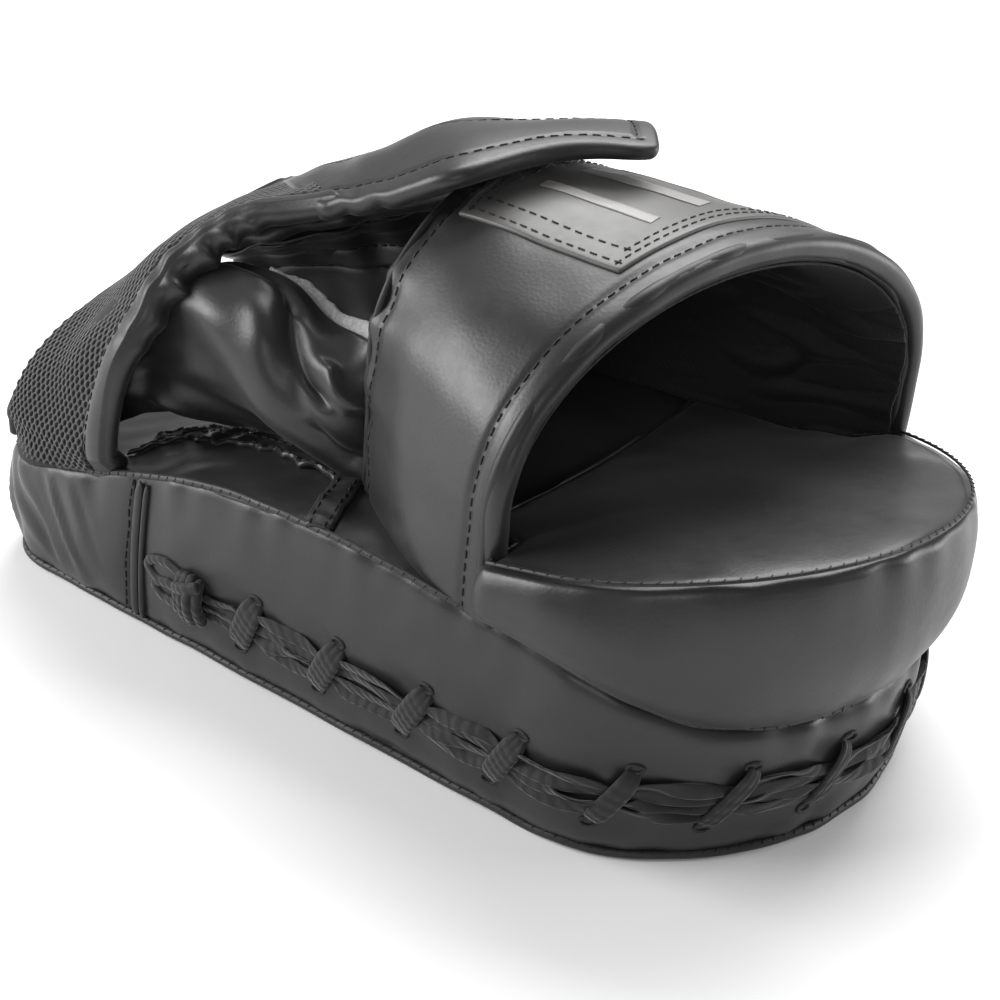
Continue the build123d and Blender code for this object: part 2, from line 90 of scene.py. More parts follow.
def ripple(points, size, seed):
    """Smooth noise of about unit height whose bumps are about `size` apart."""
    points = np.asarray(points, float)
    rng = np.random.default_rng(seed)
    waves = 18
    ways = unit(rng.normal(size=(waves, points.shape[-1])))
    ways *= 2 * np.pi / size * rng.uniform(0.55, 1.5, (waves, 1))
    turns = rng.uniform(0, 2 * np.pi, waves)
    return np.cos(points @ ways.T + turns).sum(-1) * math.sqrt(2 / waves)


def smooth_step(value, low, high):
    share = np.clip((value - low) / (high - low), 0, 1)
    return share * share * (3 - 2 * share)


def bell(value, middle, width):
    return np.exp(-(((value - middle) / width) ** 2))


def lengths(path):
    steps = np.linalg.norm(np.diff(path, axis=0), axis=1)
    return np.concatenate([[0], np.cumsum(steps)])


def read_path(spots, run, path):
    """Points of a path at the given distances along it."""
    return np.stack([np.interp(spots, run, path[:, axis]) for axis in range(path.shape[1])], axis=-1)


def resample(path, count):
    run = lengths(path)
    return read_path(np.linspace(0, run[-1], count), run, path)


def steps_grid(first, rows, second, columns):
    """Two grids of evenly spaced numbers, over the rows' span and over the columns' span."""
    return np.meshgrid(np.linspace(*first, rows), np.linspace(*second, columns), indexing="ij")


def hump(share, power=1.0):
    """0 at both ends of the 0..1 share and 1 in the middle."""
    return np.sin(np.pi * share) ** power


def spline(knots, spots):
    """Catmull-Rom curve through the knots (first axis), read at fractional knot numbers."""
    knots = np.asarray(knots, float)
    padded = np.concatenate([[2 * knots[0] - knots[1]], knots, [2 * knots[-1] - knots[-2]]])
    spots = np.clip(np.asarray(spots, float), 0, len(knots) - 1)
    first = np.minimum(spots.astype(int), len(knots) - 2)
    t = (spots - first).reshape((-1,) + (1,) * (knots.ndim - 1))
    a, b, c, d = (padded[first + k] for k in range(4))
    return 0.5 * (2 * b + (c - a) * t + (2 * a - 5 * b + 4 * c - d) * t ** 2
                  + (3 * b - a - 3 * c + d) * t ** 3)


# ---- the pad's outline and back -------------------------------------------------------------
def arch_points(half, depth, corner, steps=70):
    """A flat arch of three arcs over a base of width 2 x half, from its right end to its left."""
    reach, rise = half - corner, depth - corner
    drop = (reach ** 2 - rise ** 2) / (2 * rise)
    turn = math.atan2(drop, reach)
    corner_turns = np.linspace(0, turn, steps)
    right = np.c_[reach + corner * np.cos(corner_turns), corner * np.sin(corner_turns)]
    crown_turns = np.linspace(turn, math.pi - turn, 2 * steps)[1:-1]
    crown = (drop + depth) * np.c_[np.cos(crown_turns), np.sin(crown_turns)] - [0, drop]
    return np.vstack([right, crown, right[::-1] * [-1, 1]])


def pad_outline(outset, count):
    """Closed loop round the pad, evenly spaced from the middle of the heel over the +X side."""
    half = HALF + outset
    toe = arch_points(half, TOE_DEPTH + outset, TOE_CORNER + outset) + [0, TOE - TOE_DEPTH]
    heel = arch_points(half, HEEL_DEPTH + outset, HEEL_CORNER + outset) * [-1, -1]
    heel = heel + [0, HEEL + HEEL_DEPTH]
    loop = np.vstack([toe, heel])
    loop = np.roll(loop, -np.argmin(loop[:, 1] + 0.01 * np.abs(loop[:, 0])), axis=0)
    return resample(np.vstack([loop, loop[:1]]), count + 1)[:-1]


def tree_of(item):
    mesh = item.data
    return BVHTree.FromPolygons([v.co[:] for v in mesh.vertices], [p.vertices[:] for p in mesh.polygons])


def back_profile():
    """Heights of the pad's back above the floor, read along its middle."""
    tree = tree_of(frame["nodes"]["back_panel"])
    spots = np.linspace(HEEL + 4, TOE - 4, 90)
    hits = [tree.ray_cast(Vector((0, y * MM, 1)), Vector((0, 0, -1)))[0].z / MM for y in spots]
    return spots, np.array(hits)


BACK_Y, BACK_Z = back_profile()


def back_z(y):
    return np.interp(y, BACK_Y, BACK_Z)


# ---- mesh building --------------------------------------------------------------------------
def grid_faces(rows, columns, wrap_rows, wrap_columns):
    r = np.arange(rows if wrap_rows else rows - 1)[:, None]
    c = np.arange(columns if wrap_columns else columns - 1)[None, :]
    r2, c2 = (r + 1) % rows, (c + 1) % columns
    corners = [r * columns + c, r2 * columns + c, r2 * columns + c2, r * columns + c2]
    return np.stack([np.broadcast_to(k, (r.size, c.size)) for k in corners], axis=-1).reshape(-1, 4)


def mesh_object(name, points, faces, uvs=None):
    mesh = bpy.data.meshes.new(name)
    mesh.from_pydata((points * MM).tolist(), [], faces.tolist())
    if uvs is not None:
        loops = np.empty(len(mesh.loops), dtype=np.int32)
        mesh.loops.foreach_get("vertex_index", loops)
        layer = mesh.uv_layers.new(name="UVMap")
        layer.data.foreach_set("uv", (uvs[loops] * MM).ravel())
    work = bmesh.new()
    work.from_mesh(mesh)
    bmesh.ops.remove_doubles(work, verts=work.verts, dist=2e-6)
    bmesh.ops.dissolve_degenerate(work, edges=work.edges, dist=1e-7)
    bmesh.ops.recalc_face_normals(work, faces=work.faces)
    work.to_mesh(mesh)
    work.free()
    mesh.shade_smooth()
    item = bpy.data.objects.new(name, mesh)
    bpy.context.scene.collection.objects.link(item)
    return item


def grid_normals(points):
    return unit(np.cross(np.gradient(points, axis=0), np.gradient(points, axis=1)))


def turned_normals(points, row, column, axis):
    """Normals of a grid, all turned so that the one at the given spot points up the axis."""
    normal = grid_normals(points)
    return normal * np.sign(normal[row, column, axis])


def faces_down(points, row, column, axis):
    return bool(grid_normals(points)[row, column, axis] < 0)


def outward_flip(points, outward):
    middle = (points.shape[0] // 2, points.shape[1] // 2)
    return bool((grid_normals(points)[middle] * outward[middle]).sum() < 0)


def shell(name, outer, thickness, flip=False, rim=3):
    """Closed shell below an outer surface (rows x columns x 3), with round edges all the way."""
    normal = grid_normals(outer) * (-1 if flip else 1)
    thick = np.broadcast_to(thickness, outer.shape[:2])[..., None]
    inner = outer - normal * thick
    middle = (outer + inner) / 2
    turns = np.linspace(0, np.pi, rim + 2)[1:-1]

    def edge(column, away):
        radius = thick[:, column] / 2
        ring = [middle[:, column] + radius * (math.cos(a) * normal[:, column] + math.sin(a) * away)
                for a in turns]
        return np.stack(ring, axis=1)

    last = edge(-1, unit(outer[:, -1] - outer[:, -2]))
    start = edge(0, unit(outer[:, 0] - outer[:, 1]))[:, ::-1]
    loop = np.concatenate([outer, last, inner[:, ::-1], start], axis=1)
    spine, width = (np.concatenate([k, np.repeat(k[:, -1:], rim, 1), k[:, ::-1], np.repeat(k[:, :1], rim, 1)],
                                   axis=1) for k in (middle, thick / 2))
    caps = []
    for end, beside in ((0, 1), (-1, -2)):
        away = unit(spine[end] - spine[beside])
        caps.append([spine[end] + (loop[end] - spine[end]) * math.cos(a) + away * width[end] * math.sin(a)
                     for a in np.linspace(0, np.pi / 2, rim + 1)[1:]])
    loop = np.concatenate([np.array(caps[0])[::-1], loop, np.array(caps[1])])
    rows, columns = loop.shape[:2]
    run = lengths(loop.mean(1))
    across = np.concatenate([[0], np.cumsum(np.linalg.norm(np.diff(loop, axis=1), axis=2).mean(0))])
    uvs = np.stack(np.meshgrid(run, across, indexing="ij"), axis=-1).reshape(-1, 2)
    return mesh_object(name, loop.reshape(-1, 3), grid_faces(rows, columns, False, True), uvs)


def drum(name, rows):
    """Closed body from rings: the first and last shrink to a point."""
    rows = np.asarray(rows)
    count, columns = rows.shape[:2]
    return mesh_object(name, rows.reshape(-1, 3), grid_faces(count, columns, False, True))


def disc_rows(rim, centre, steps, height):
    """Rings from a centre out to a closed rim (columns x 2); height(points, share) gives their Z."""
    rows = []
    for share in np.linspace(0, 1, steps):
        flat = centre + (rim - centre) * share
        rows.append(np.c_[flat, height(flat, share) + np.zeros(len(flat))])
    return rows


def slab(name, inset, first, last):
    """Closed body inside the pad's outline, between two faces given as (rings, height)."""
    rim = outline - outline_out * inset
    faces = [disc_rows(rim, PAD_CENTRE, steps, height) for steps, height in (first, last)]
    return drum(name, faces[0] + faces[1][::-1])


def tube_grid(path, normal, wide, high, closed=False, sides=12, taper=0):
    """Points and faces of a tube of elliptic section; `high` is along the normal, and the first and
    last `taper` rings of an open tube shrink to a point."""
    path = np.asarray(path, float)
    along = np.roll(path, -1, 0) - np.roll(path, 1, 0) if closed else np.gradient(path, axis=0)
    along = unit(along)
    side = unit(np.cross(along, normal))
    lift = np.cross(side, along)
    turns = np.linspace(0, 2 * np.pi, sides, endpoint=False)
    wide, high = (np.broadcast_to(size, len(path)).astype(float) for size in (wide, high))
    if taper:
        share = np.sqrt(np.clip(1 - (1 - np.arange(taper) / taper) ** 2, 0, 1))
        for size in (wide, high):
            size[:taper] *= share
            size[-taper:] *= share[::-1]
    grid = (path[:, None] + side[:, None] * np.cos(turns)[None, :, None] * wide[:, None, None]
            + lift[:, None] * np.sin(turns)[None, :, None] * high[:, None, None])
    return grid.reshape(-1, 3), grid_faces(len(path), sides, closed, True)


def join(name, parts):
    points, faces, base = [], [], 0
    for some, quads in parts:
        points.append(some)
        faces.append(quads + base)
        base += len(some)
    return mesh_object(name, np.concatenate(points), np.concatenate(faces))


def capsule():
    """A thread stitch of unit length along X and unit radius, as rings of six points."""
    rings = [(-0.5, 0.0), (-0.46, 0.6), (-0.36, 1.0), (0.36, 1.0), (0.46, 0.6), (0.5, 0.0)]
    turns = np.linspace(0, 2 * np.pi, 6, endpoint=False)
    points = [[x, r * math.cos(a), r * math.sin(a)] for x, r in rings for a in turns]
    return np.array(points), grid_faces(len(rings), 6, False, True)


def press(item, points, reach=12.0):
    """Nearest spots on a finished piece, and its outward direction there."""
    tree = tree_of(item)
    spots, ups = [], []
    for point in points:
        found = tree.find_nearest(Vector(point) * MM, reach * MM)
        spots.append(point if found[0] is None else np.array(found[0]) / MM)
        ups.append((0, 0, 1) if found[0] is None else found[1][:])
    return np.array(spots), np.array(ups)


def stitch_line(item, path, pitch=3.7, size=2.7, radius=0.34, lift=0.12, slant=0.0):
    """Stitches along a path on a piece, as points and faces."""
    path = resample(np.asarray(path, float), max(int(lengths(path)[-1] / pitch), 2) + 1)
    spots, ups = press(item, path)
    along = np.gradient(spots, axis=0)
    along = unit(along - ups * (along * ups).sum(1, keepdims=True))
    side = np.cross(ups, along)
    if slant:
        along, side = (along * math.cos(slant) + side * math.sin(slant),
                       side * math.cos(slant) - along * math.sin(slant))
    shape, quads = capsule()
    grid = ((spots + ups * lift)[:, None] + along[:, None] * shape[None, :, :1] * size
            + side[:, None] * shape[None, :, 1:2] * radius + ups[:, None] * shape[None, :, 2:] * radius)
    count = len(shape)
    faces = np.concatenate([quads + count * k for k in range(len(spots))])
    return grid.reshape(-1, 3), faces


def read_vertices(mesh, key="co"):
    values = np.empty(len(mesh.vertices) * 3)
    mesh.vertices.foreach_get(key, values)
    return values.reshape(-1, 3)


def write_vertices(mesh, points):
    mesh.vertices.foreach_set("co", points.ravel())
    mesh.update()


def dent(item, paths, width, depth):
    """Presses a groove (depth > 0) or raises a ridge (depth < 0) into a piece along paths."""
    mesh = item.data
    points = read_vertices(mesh) / MM
    normals = read_vertices(mesh, "normal")
    near = np.full(len(points), 1e9)
    for path in paths:
        dense = resample(np.asarray(path, float), max(int(lengths(path)[-1] / 1.0), 2))
        low, high = dense.min(0) - 4 * width, dense.max(0) + 4 * width
        inside = np.where(((points > low) & (points < high)).all(1))[0]
        batch = 4000                                  # keeps the table of gaps small
        for start in range(0, len(inside), batch):
            some = inside[start:start + batch]
            gaps = np.linalg.norm(points[some][:, None] - dense[None], axis=2).min(1)
            near[some] = np.minimum(near[some], gaps)
    points -= normals * (depth * np.exp(-(near / width) ** 2))[:, None]
    write_vertices(mesh, points * MM)


def puff(item, held, pressure=4.0, slack=0.02, cap=5.0, steps=20, calm=60):
    """Cloth simulation of a padded cover: held(points) names the sewn points, which stay."""
    mesh = item.data
    before = read_vertices(mesh)
    pins = item.vertex_groups.new(name="sewn")
    pins.add([int(k) for k in np.where(held(before / MM))[0]], 1.0, "REPLACE")
    cloth = item.modifiers.new("Cloth", "CLOTH")
    settings = cloth.settings
    settings.quality = 5
    settings.mass = 0.3
    settings.tension_stiffness = settings.compression_stiffness = 25
    settings.shear_stiffness = 5
    settings.bending_stiffness = 5.0
    settings.use_pressure = True
    settings.uniform_pressure_force = pressure
    settings.shrink_min = -slack
    settings.vertex_group_mass = "sewn"
    settings.effector_weights.gravity = 0
    cloth.collision_settings.use_collision = False
    cloth.point_cache.frame_start, cloth.point_cache.frame_end = 1, steps
    for number in range(1, steps + 1):
        bpy.context.scene.frame_set(number)
    solved = item.evaluated_get(bpy.context.evaluated_depsgraph_get()).to_mesh()
    move = read_vertices(solved) - before
    item.evaluated_get(bpy.context.evaluated_depsgraph_get()).to_mesh_clear()
    item.modifiers.remove(cloth)
    item.vertex_groups.remove(pins)
    edges = np.empty(len(mesh.edges) * 2, dtype=np.int32)
    mesh.edges.foreach_get("vertices", edges)
    first, second = edges.reshape(-1, 2).T
    links = np.bincount(np.concatenate([first, second]), minlength=len(move))[:, None]
    for _ in range(calm):                         # evens out the fine wrinkles, keeps the swelling
        total = np.zeros_like(move)
        np.add.at(total, first, move[second])
        np.add.at(total, second, move[first])
        move = 0.4 * move + 0.6 * total / links
    size = np.linalg.norm(move, axis=1, keepdims=True)
    limit = cap * MM
    move *= np.where(size > 1e-9, limit * np.tanh(size / limit) / np.maximum(size, 1e-9), 0)
    write_vertices(mesh, before + move)
    bpy.context.scene.frame_set(1)


# ---- materials ------------------------------------------------------------------------------
class Nodes:
    """A material's node tree, with short ways to add and join nodes."""

    def __init__(self, name):
        self.material = bpy.data.materials.new(name)
        self.material.use_nodes = True
        self.tree = self.material.node_tree
        self.shader = self.tree.nodes["Principled BSDF"]
        self.place = self.add("ShaderNodeTexCoord").outputs["Object"]

    def add(self, kind, sockets=(), **settings):
        node = self.tree.nodes.new(kind)
        for key, value in settings.items():
            setattr(node, key, value)
        for key, value in dict(sockets).items():
            self.put(node.inputs[key], value)
        return node

    def put(self, socket, value):
        if isinstance(value, bpy.types.NodeSocket):
            self.tree.links.new(value, socket)
        else:
            socket.default_value = value

    def noise(self, scale, detail=3.0, rough=0.55, place=None):
        sockets = {"Vector": place or self.place, "Scale": scale, "Detail": detail, "Roughness": rough}
        return self.add("ShaderNodeTexNoise", sockets).outputs[0]

    def cells(self, scale, feature="F1", place=None):
        sockets = {"Vector": place or self.place, "Scale": scale}
        return self.add("ShaderNodeTexVoronoi", sockets, feature=feature).outputs["Distance"]

    def wave(self, scale, distortion, detail=2.0, way="DIAGONAL"):
        sockets = {"Vector": self.place, "Scale": scale, "Distortion": distortion, "Detail": detail}
        return self.add("ShaderNodeTexWave", sockets, bands_direction=way).outputs["Fac"]

    def vector(self, kind, first, second=(0, 0, 0), out=0):
        return self.add("ShaderNodeVectorMath", {0: first, 1: second}, operation=kind).outputs[out]

    def ramp(self, value, low, high, low_at=0.0, high_at=1.0):
        node = self.add("ShaderNodeMapRange", {"Value": value, "From Min": low_at, "From Max": high_at,
                                               "To Min": low, "To Max": high})
        return node.outputs["Result"]

    def math(self, kind, first, second=0.0):
        node = self.add("ShaderNodeMath", operation=kind)
        self.put(node.inputs[0], first)
        self.put(node.inputs[1], second)
        return node.outputs[0]

    def mix(self, share, first, second):
        node = self.add("ShaderNodeMix", data_type="RGBA")
        self.put(node.inputs[0], share)
        self.put(node.inputs[6], first)
        self.put(node.inputs[7], second)
        return node.outputs[2]

    def bump(self, height, strength, distance, base=None):
        sockets = {"Height": height, "Strength": strength, "Distance": distance}
        if base is not None:
            sockets["Normal"] = base
        return self.add("ShaderNodeBump", sockets).outputs["Normal"]

    def finish(self, **sockets):
        for key, value in sockets.items():
            self.put(self.shader.inputs[key.replace("_", " ")], value)
        return self.material


def grey(value, warm=0.0):
    return (value * (1 + warm), value, value * (1 - warm), 1.0)


def leather(name, tone=0.0125, rough=0.40, grain=0.08, worn=0.010):
    """Soft-matte artificial leather: fine grain, cloudy sheen and slightly paler raised edges."""
    n = Nodes(name)
    cloud = n.noise(22, 4)
    fine = n.noise(900, 2)
    pebbles = n.cells(1150, "SMOOTH_F1")
    colour = n.mix(n.ramp(cloud, 0, 1, 0.3, 0.7), grey(tone * 0.82, 0.02), grey(tone * 1.2, 0.03))
    edge = n.add("ShaderNodeNewGeometry").outputs["Pointiness"]
    wear = n.math("MULTIPLY", n.ramp(edge, 0, 1, 0.52, 0.62), n.ramp(n.noise(160), 0.2, 1, 0.35, 0.65))
    colour = n.mix(wear, colour, grey(tone + worn, 0.03))
    scratch = n.noise(260, 5, 0.7)
    matt = n.math("ADD", n.ramp(cloud, rough - 0.05, rough + 0.06, 0.3, 0.7),
                  n.ramp(scratch, -0.03, 0.04, 0.3, 0.7))
    bumps = n.bump(pebbles, grain, 0.0004)
    bumps = n.bump(fine, grain * 0.6, 0.00015, bumps)
    return n.finish(Base_Color=colour, Roughness=matt, Normal=bumps, Specular_IOR_Level=0.5,
                    Sheen_Weight=0.06, Sheen_Roughness=0.5)


def woven(name, tone, scale, rough=0.8, strength=0.5, sheen=0.25):
    """Plain cloth: crossed threads from two wave patterns."""
    n = Nodes(name)
    threads = n.math("MAXIMUM", n.wave(scale, 0.6, 1.0, "Y"), n.wave(scale, 0.6, 1.0))
    colour = n.mix(threads, grey(tone * 0.55), grey(tone * 1.25))
    patch = n.noise(60)
    colour = n.mix(n.ramp(patch, 0, 0.35, 0.35, 0.65), colour, grey(tone * 1.5))
    return n.finish(Base_Color=colour, Roughness=n.ramp(patch, rough - 0.06, rough + 0.06),
                    Normal=n.bump(threads, strength, 0.0003), Sheen_Weight=sheen, Sheen_Roughness=0.4)


def fuzzy(name, tone, scale, strength, rough=0.95):
    """Felt, pile or open foam: irregular fibres with a soft sheen."""
    n = Nodes(name)
    fibres = n.noise(scale, 6, 0.75)
    lumps = n.cells(scale * 0.6)
    colour = n.mix(n.ramp(fibres, 0, 1, 0.3, 0.7), grey(tone * 0.6), grey(tone * 1.3))
    bumps = n.bump(fibres, strength, 0.0006)
    bumps = n.bump(lumps, strength * 0.5, 0.0005, bumps)
    return n.finish(Base_Color=colour, Roughness=n.ramp(lumps, rough - 0.05, rough), Normal=bumps,
                    Sheen_Weight=0.35, Sheen_Roughness=0.5)


def lace_cloth(name, tone):
    """Flat braided lace: slanting plaits with fine threads across them."""
    n = Nodes(name)
    plait = n.wave(190.0, 1.6)
    thread = n.noise(1500, 3, 0.7)
    mixed = n.math("ADD", n.math("MULTIPLY", plait, 0.6), n.math("MULTIPLY", thread, 0.6))
    colour = n.mix(mixed, grey(tone * 0.5), grey(tone * 1.7))
    return n.finish(Base_Color=colour, Roughness=n.ramp(thread, 0.62, 0.85), Normal=n.bump(mixed, 0.7, 0.0004),
                    Sheen_Weight=0.2, Sheen_Roughness=0.4)


MESH_PITCH = 3.9 * MM


def net(name, tone):
    """Spacer mesh: staggered holes in a knitted face, laid out in the piece's own UVs; the holes are painted
    near-black as painted shade inside them.
    """
    n = Nodes(name)
    flat = n.add("ShaderNodeTexCoord").outputs["UV"]
    size = (1 / MESH_PITCH, 1 / (MESH_PITCH * 0.75), 0.0)
    scaled = n.vector("MULTIPLY", flat, size)
    holes = []
    for shift in ((0, 0, 0), (0.5, 0.5, 0)):
        part = n.vector("FRACTION", n.vector("ADD", scaled, shift))
        holes.append(n.vector("LENGTH", n.vector("SUBTRACT", part, (0.5, 0.5, 0)), out="Value"))
    nearest = n.math("MINIMUM", holes[0], holes[1])
    solid = n.ramp(nearest, 0, 1, 0.16, 0.30)
    thread = n.noise(1800, 3, 0.7)
    # painted shade: the holes get near-black grey(0.003) for the shade inside them, the knit its own tone
    colour = n.mix(solid, grey(0.003), n.mix(thread, grey(tone * 0.6), grey(tone * 1.5)))
    bumps = n.bump(n.math("ADD", solid, n.math("MULTIPLY", thread, 0.25)), 0.8, 0.0006)
    return n.finish(Base_Color=colour, Roughness=n.ramp(thread, 0.6, 0.85), Normal=bumps, Sheen_Weight=0.2,
                    Sheen_Roughness=0.4)


def thread_look(name, tone):
    """Twisted sewing thread."""
    n = Nodes(name)
    twist = n.wave(900.0, 1.0)
    colour = n.mix(twist, grey(tone * 0.6), grey(tone * 1.8))
    return n.finish(Base_Color=colour, Roughness=n.ramp(twist, 0.5, 0.7), Normal=n.bump(twist, 0.5, 0.0002))


LEATHER = leather("leather")
LEATHER_TRIM = leather("leather_trim", 0.008, 0.50, 0.06)
# near-black lining cloth: its own dark colour, darkened further as painted shade for the inside of the hood
# and cuff
LINING_WITH_PAINTED_SHADE = woven("lining", 0.0035, 420.0, 0.8, 0.35, 0.03)
FELT = fuzzy("felt", 0.42, 1400.0, 0.9)
LOOP_PILE = fuzzy("loop_pile", 0.016, 900.0, 1.0)
HOOK = fuzzy("hook_tape", 0.016, 1600.0, 1.0, 0.6)
FOAM = fuzzy("foam", 0.08, 700.0, 0.6)
BOARD_LOOK = fuzzy("board", 0.16, 300.0, 0.2)
LACE = lace_cloth("lace", 0.008)
NET = net("mesh", 0.032)
THREAD = thread_look("thread", 0.006)
PATCH = leather("patch", 0.078, 0.42, 0.05)
PRINT = leather("print", 0.26, 0.42, 0.04, 0.0)


def dress(item, look, nodes):
    """Gives a piece its material and hides the nodes that it stands for."""
    item.data.materials.clear()
    item.data.materials.append(look)
    if nodes:
        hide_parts(*nodes)
    return item


def done(item, look, body, slot, *nodes, fill=None):
    """Finishes a piece that rides on one body."""
    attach(item, body)
    return dress(item, look, nodes)


def sew(name, lines):
    """One piece from all the stitch lines of a part of the pad."""
    done(join(name, lines), THREAD, "pad", "lace")


# ---- pad ------------------------------------------------------------------------------------
ROUND, FINE = 520, 2400                            # points round the pad, and round a finer outline
outline = pad_outline(0, ROUND)
outline_way = unit(np.roll(outline, -1, 0) - np.roll(outline, 1, 0))
outline_out = np.c_[outline_way[:, 1], -outline_way[:, 0]]
outline_top = back_z(outline[:, 1])
WRAP_SPACING, WRAP_COUNT = 28.5, 15
WALL_LOW = 2.4                                     # height of the side wall's lower seam
COVER = 1.5                                        # thickness of the leather
SEAM_DROP = 0.9                                    # of the walls' top seam below the back


def lace_path(count):
    """The stretch of the outline that the laces follow, from the near side round to the far side."""
    loop = pad_outline(0.0, FINE)
    first = np.argmax((loop[:, 0] > 0) & (loop[:, 1] > at(LACE_START)))
    last = len(loop) - np.argmax((loop[::-1, 0] < 0) & (loop[::-1, 1] > at(LACE_START)))
    return resample(loop[first:last], count)


LACES = lace_path(900)
LACE_RUN = lengths(LACES)
WRAP_FIRST = (LACE_RUN[-1] - WRAP_SPACING * (WRAP_COUNT - 1)) / 2
WRAPS = WRAP_FIRST + WRAP_SPACING * np.arange(WRAP_COUNT)


def lace_spot(run):
    """A spot on the laces' path, its direction and the outward direction there."""
    spot, ahead, behind = (read_path(run + step, LACE_RUN, LACES) for step in (0.0, 0.5, -0.5))
    way = unit(ahead - behind)
    return spot, way, np.stack([way[..., 1], -way[..., 0]], axis=-1)


WRAP_SPOTS = lace_spot(WRAPS)[0]


def wall_bulge(flat, z, top):
    """How far the padded side wall stands out from its seams."""
    share = np.clip((z - WALL_LOW) / (top - WALL_LOW), 0, 1)
    spots = np.stack([flat[..., 0], flat[..., 1], z], axis=-1)
    full = 1.9 * hump(share, 0.7)
    near_low, near_top = np.exp(-(z - WALL_LOW) / 7), np.exp(-(top - z) / 8)
    run = np.stack([flat[..., 0], flat[..., 1], z * 0.12], axis=-1)
    pucker = ripple(run, 13, 3) * (0.34 * near_low + 0.42 * near_top)
    cloud = 0.38 * ripple(spots, 46, 5) + 0.10 * ripple(spots, 17, 6)
    laced = at(LACE_START - 8) < flat[..., 1]
    sunk = 0.9 * bell(z, LACE_MID, 9.0) * laced
    for spot in WRAP_SPOTS:
        away = np.linalg.norm(flat - spot, axis=-1)
        holes = 0.9 * bell(z, LACE_HIGH + 3.0, 4.5) + 0.7 * bell(z, LACE_LOW - 2.0, 4.0)
        sunk = sunk + bell(away, 0, 7.0) * holes
    slant = flat[..., 1] + 0.55 * z + 1.6 * ripple(run, 24, 8)
    folds = np.sin(slant * 2 * np.pi / 10.5) + 0.5 * np.sin(slant * 2 * np.pi / 6.3 + 1.0)
    folds = 0.62 * folds * smooth_step(flat[..., 1], at(60), at(38)) * smooth_step(share, 0.0, 0.35)
    return full + cloud * hump(share, 0.5) + pucker + folds * hump(share, 0.6) - sunk


def make_wall(name, keep, rows=64):
    """A stretch of the side wall between two upright seams."""
    flat = outline[keep]
    out = outline_out[keep]
    top = outline_top[keep] - SEAM_DROP
    share = np.linspace(0, 1, rows)
    z = WALL_LOW + (top - WALL_LOW)[:, None] * share[None]
    base = np.repeat(flat[:, None], rows, axis=1)
    tuck = 1.1 * (np.exp(-(z - WALL_LOW) / 1.6) + np.exp(-(top[:, None] - z) / 1.6))
    push = wall_bulge(base, z, top[:, None]) - tuck
    ends = np.exp(-np.minimum(np.arange(len(flat)), np.arange(len(flat))[::-1]) / 2.2)[:, None]
    push = push * (1 - 0.8 * ends) - 1.0 * ends
    points = np.concatenate([base + out[:, None] * push[..., None], z[..., None]], axis=2)
    return shell(name, points, COVER)


heel_part = outline[:, 1] < at(HEEL_SEAM)
order = np.arange(ROUND)
near_heel = order[heel_part & (order < ROUND // 2)]
far_heel = order[heel_part & (order >= ROUND // 2)]
toe_part = order[~heel_part]
side_wall = make_wall("side_wall_cover", toe_part)
heel_wall = make_wall("heel_wall_cover", np.concatenate([far_heel, near_heel]))
done(side_wall, LEATHER, "pad", "leather", "side_wall")
done(heel_wall, LEATHER, "pad", "leather", "heel_wall")


def loop_tube(name, outset, heights, wide, high, node, seed):
    """Piping that follows the pad's outline."""
    flat = outline + outline_out * (outset + ripple(outline, 22, seed)[:, None] * 0.12)
    path = np.c_[flat, heights + ripple(outline, 18, seed + 1) * 0.12]
    normal = np.c_[outline_out, np.full(ROUND, 0.6)]
    points, faces = tube_grid(path, normal, wide, high, closed=True)
    return done(mesh_object(name, points, faces), LEATHER_TRIM, "pad", "piping", node)


floor_edge = loop_tube("face_edge", -0.5, np.full(ROUND, 1.6), 1.2, 1.0, "face_welt", 21)
top_edge = loop_tube("back_edge", -0.9, outline_top - 0.1, 0.9, 0.6, "back_welt", 23)


PAD_CENTRE = np.array([0.0, (HEEL + TOE) / 2])


def back_swell(flat, share):
    """Height of the leather over the back, which rolls over at its rim."""
    return (back_z(flat[:, 1]) + 0.5 - 1.3 * share ** 12 + 0.35 * ripple(flat, 40, 31) * (1 - share ** 4)
            + 0.16 * ripple(flat, 14, 32) * share ** 3)


def below_back(depth):
    return lambda flat, share: back_z(flat[:, 1]) - depth


back_cover = slab("back_panel_cover", 0.9, (60, back_swell), (20, below_back(2.0)))
done(back_cover, LEATHER, "pad", "leather", "back_panel")

# the target face underneath, flat where it rests on the floor
face_cover = slab("target_face_cover", 1.9, (24, lambda flat, share: 0.05 + 0.5 * share ** 10),
                  (12, lambda flat, share: 1.5))
done(face_cover, LEATHER, "pad", "leather", "target_face")

# the foam block behind the covers, and the stiff board under the back panel
filling = slab("pad_filling", 3.2, (30, below_back(5.2)), (6, lambda flat, share: 2.0))
stiffener = slab("back_stiffener", 12, (24, below_back(2.4)), (24, below_back(4.6)))
done(filling, FOAM, "pad", "foam", "front_foam", "core_foam", fill=1.0)
done(stiffener, BOARD_LOOK, "pad", "board", "back_board")


def make_heel_welts():
    """Upright piped seams where the heel cover meets the side cover."""
    parts = []
    for side in (1, -1):
        top = back_z(at(HEEL_SEAM)) - 0.2
        z = np.linspace(2.2, top, 30)
        for offset in (-1.5, 1.2):
            lean = (z - 3) * 0.10
            wide = 1.5 if offset < 0 else 0.9
            x = HALF + 0.2 + 1.3 * np.sin(np.pi * (z - 2) / top)
            path = np.c_[side * x, at(HEEL_SEAM) + offset + lean, z]
            parts.append(tube_grid(path, np.array([side, 0, 0.0]), wide, 1.0, taper=3))
    return join("heel_seams", parts)


done(make_heel_welts(), LEATHER_TRIM, "pad", "piping", "heel_welts")

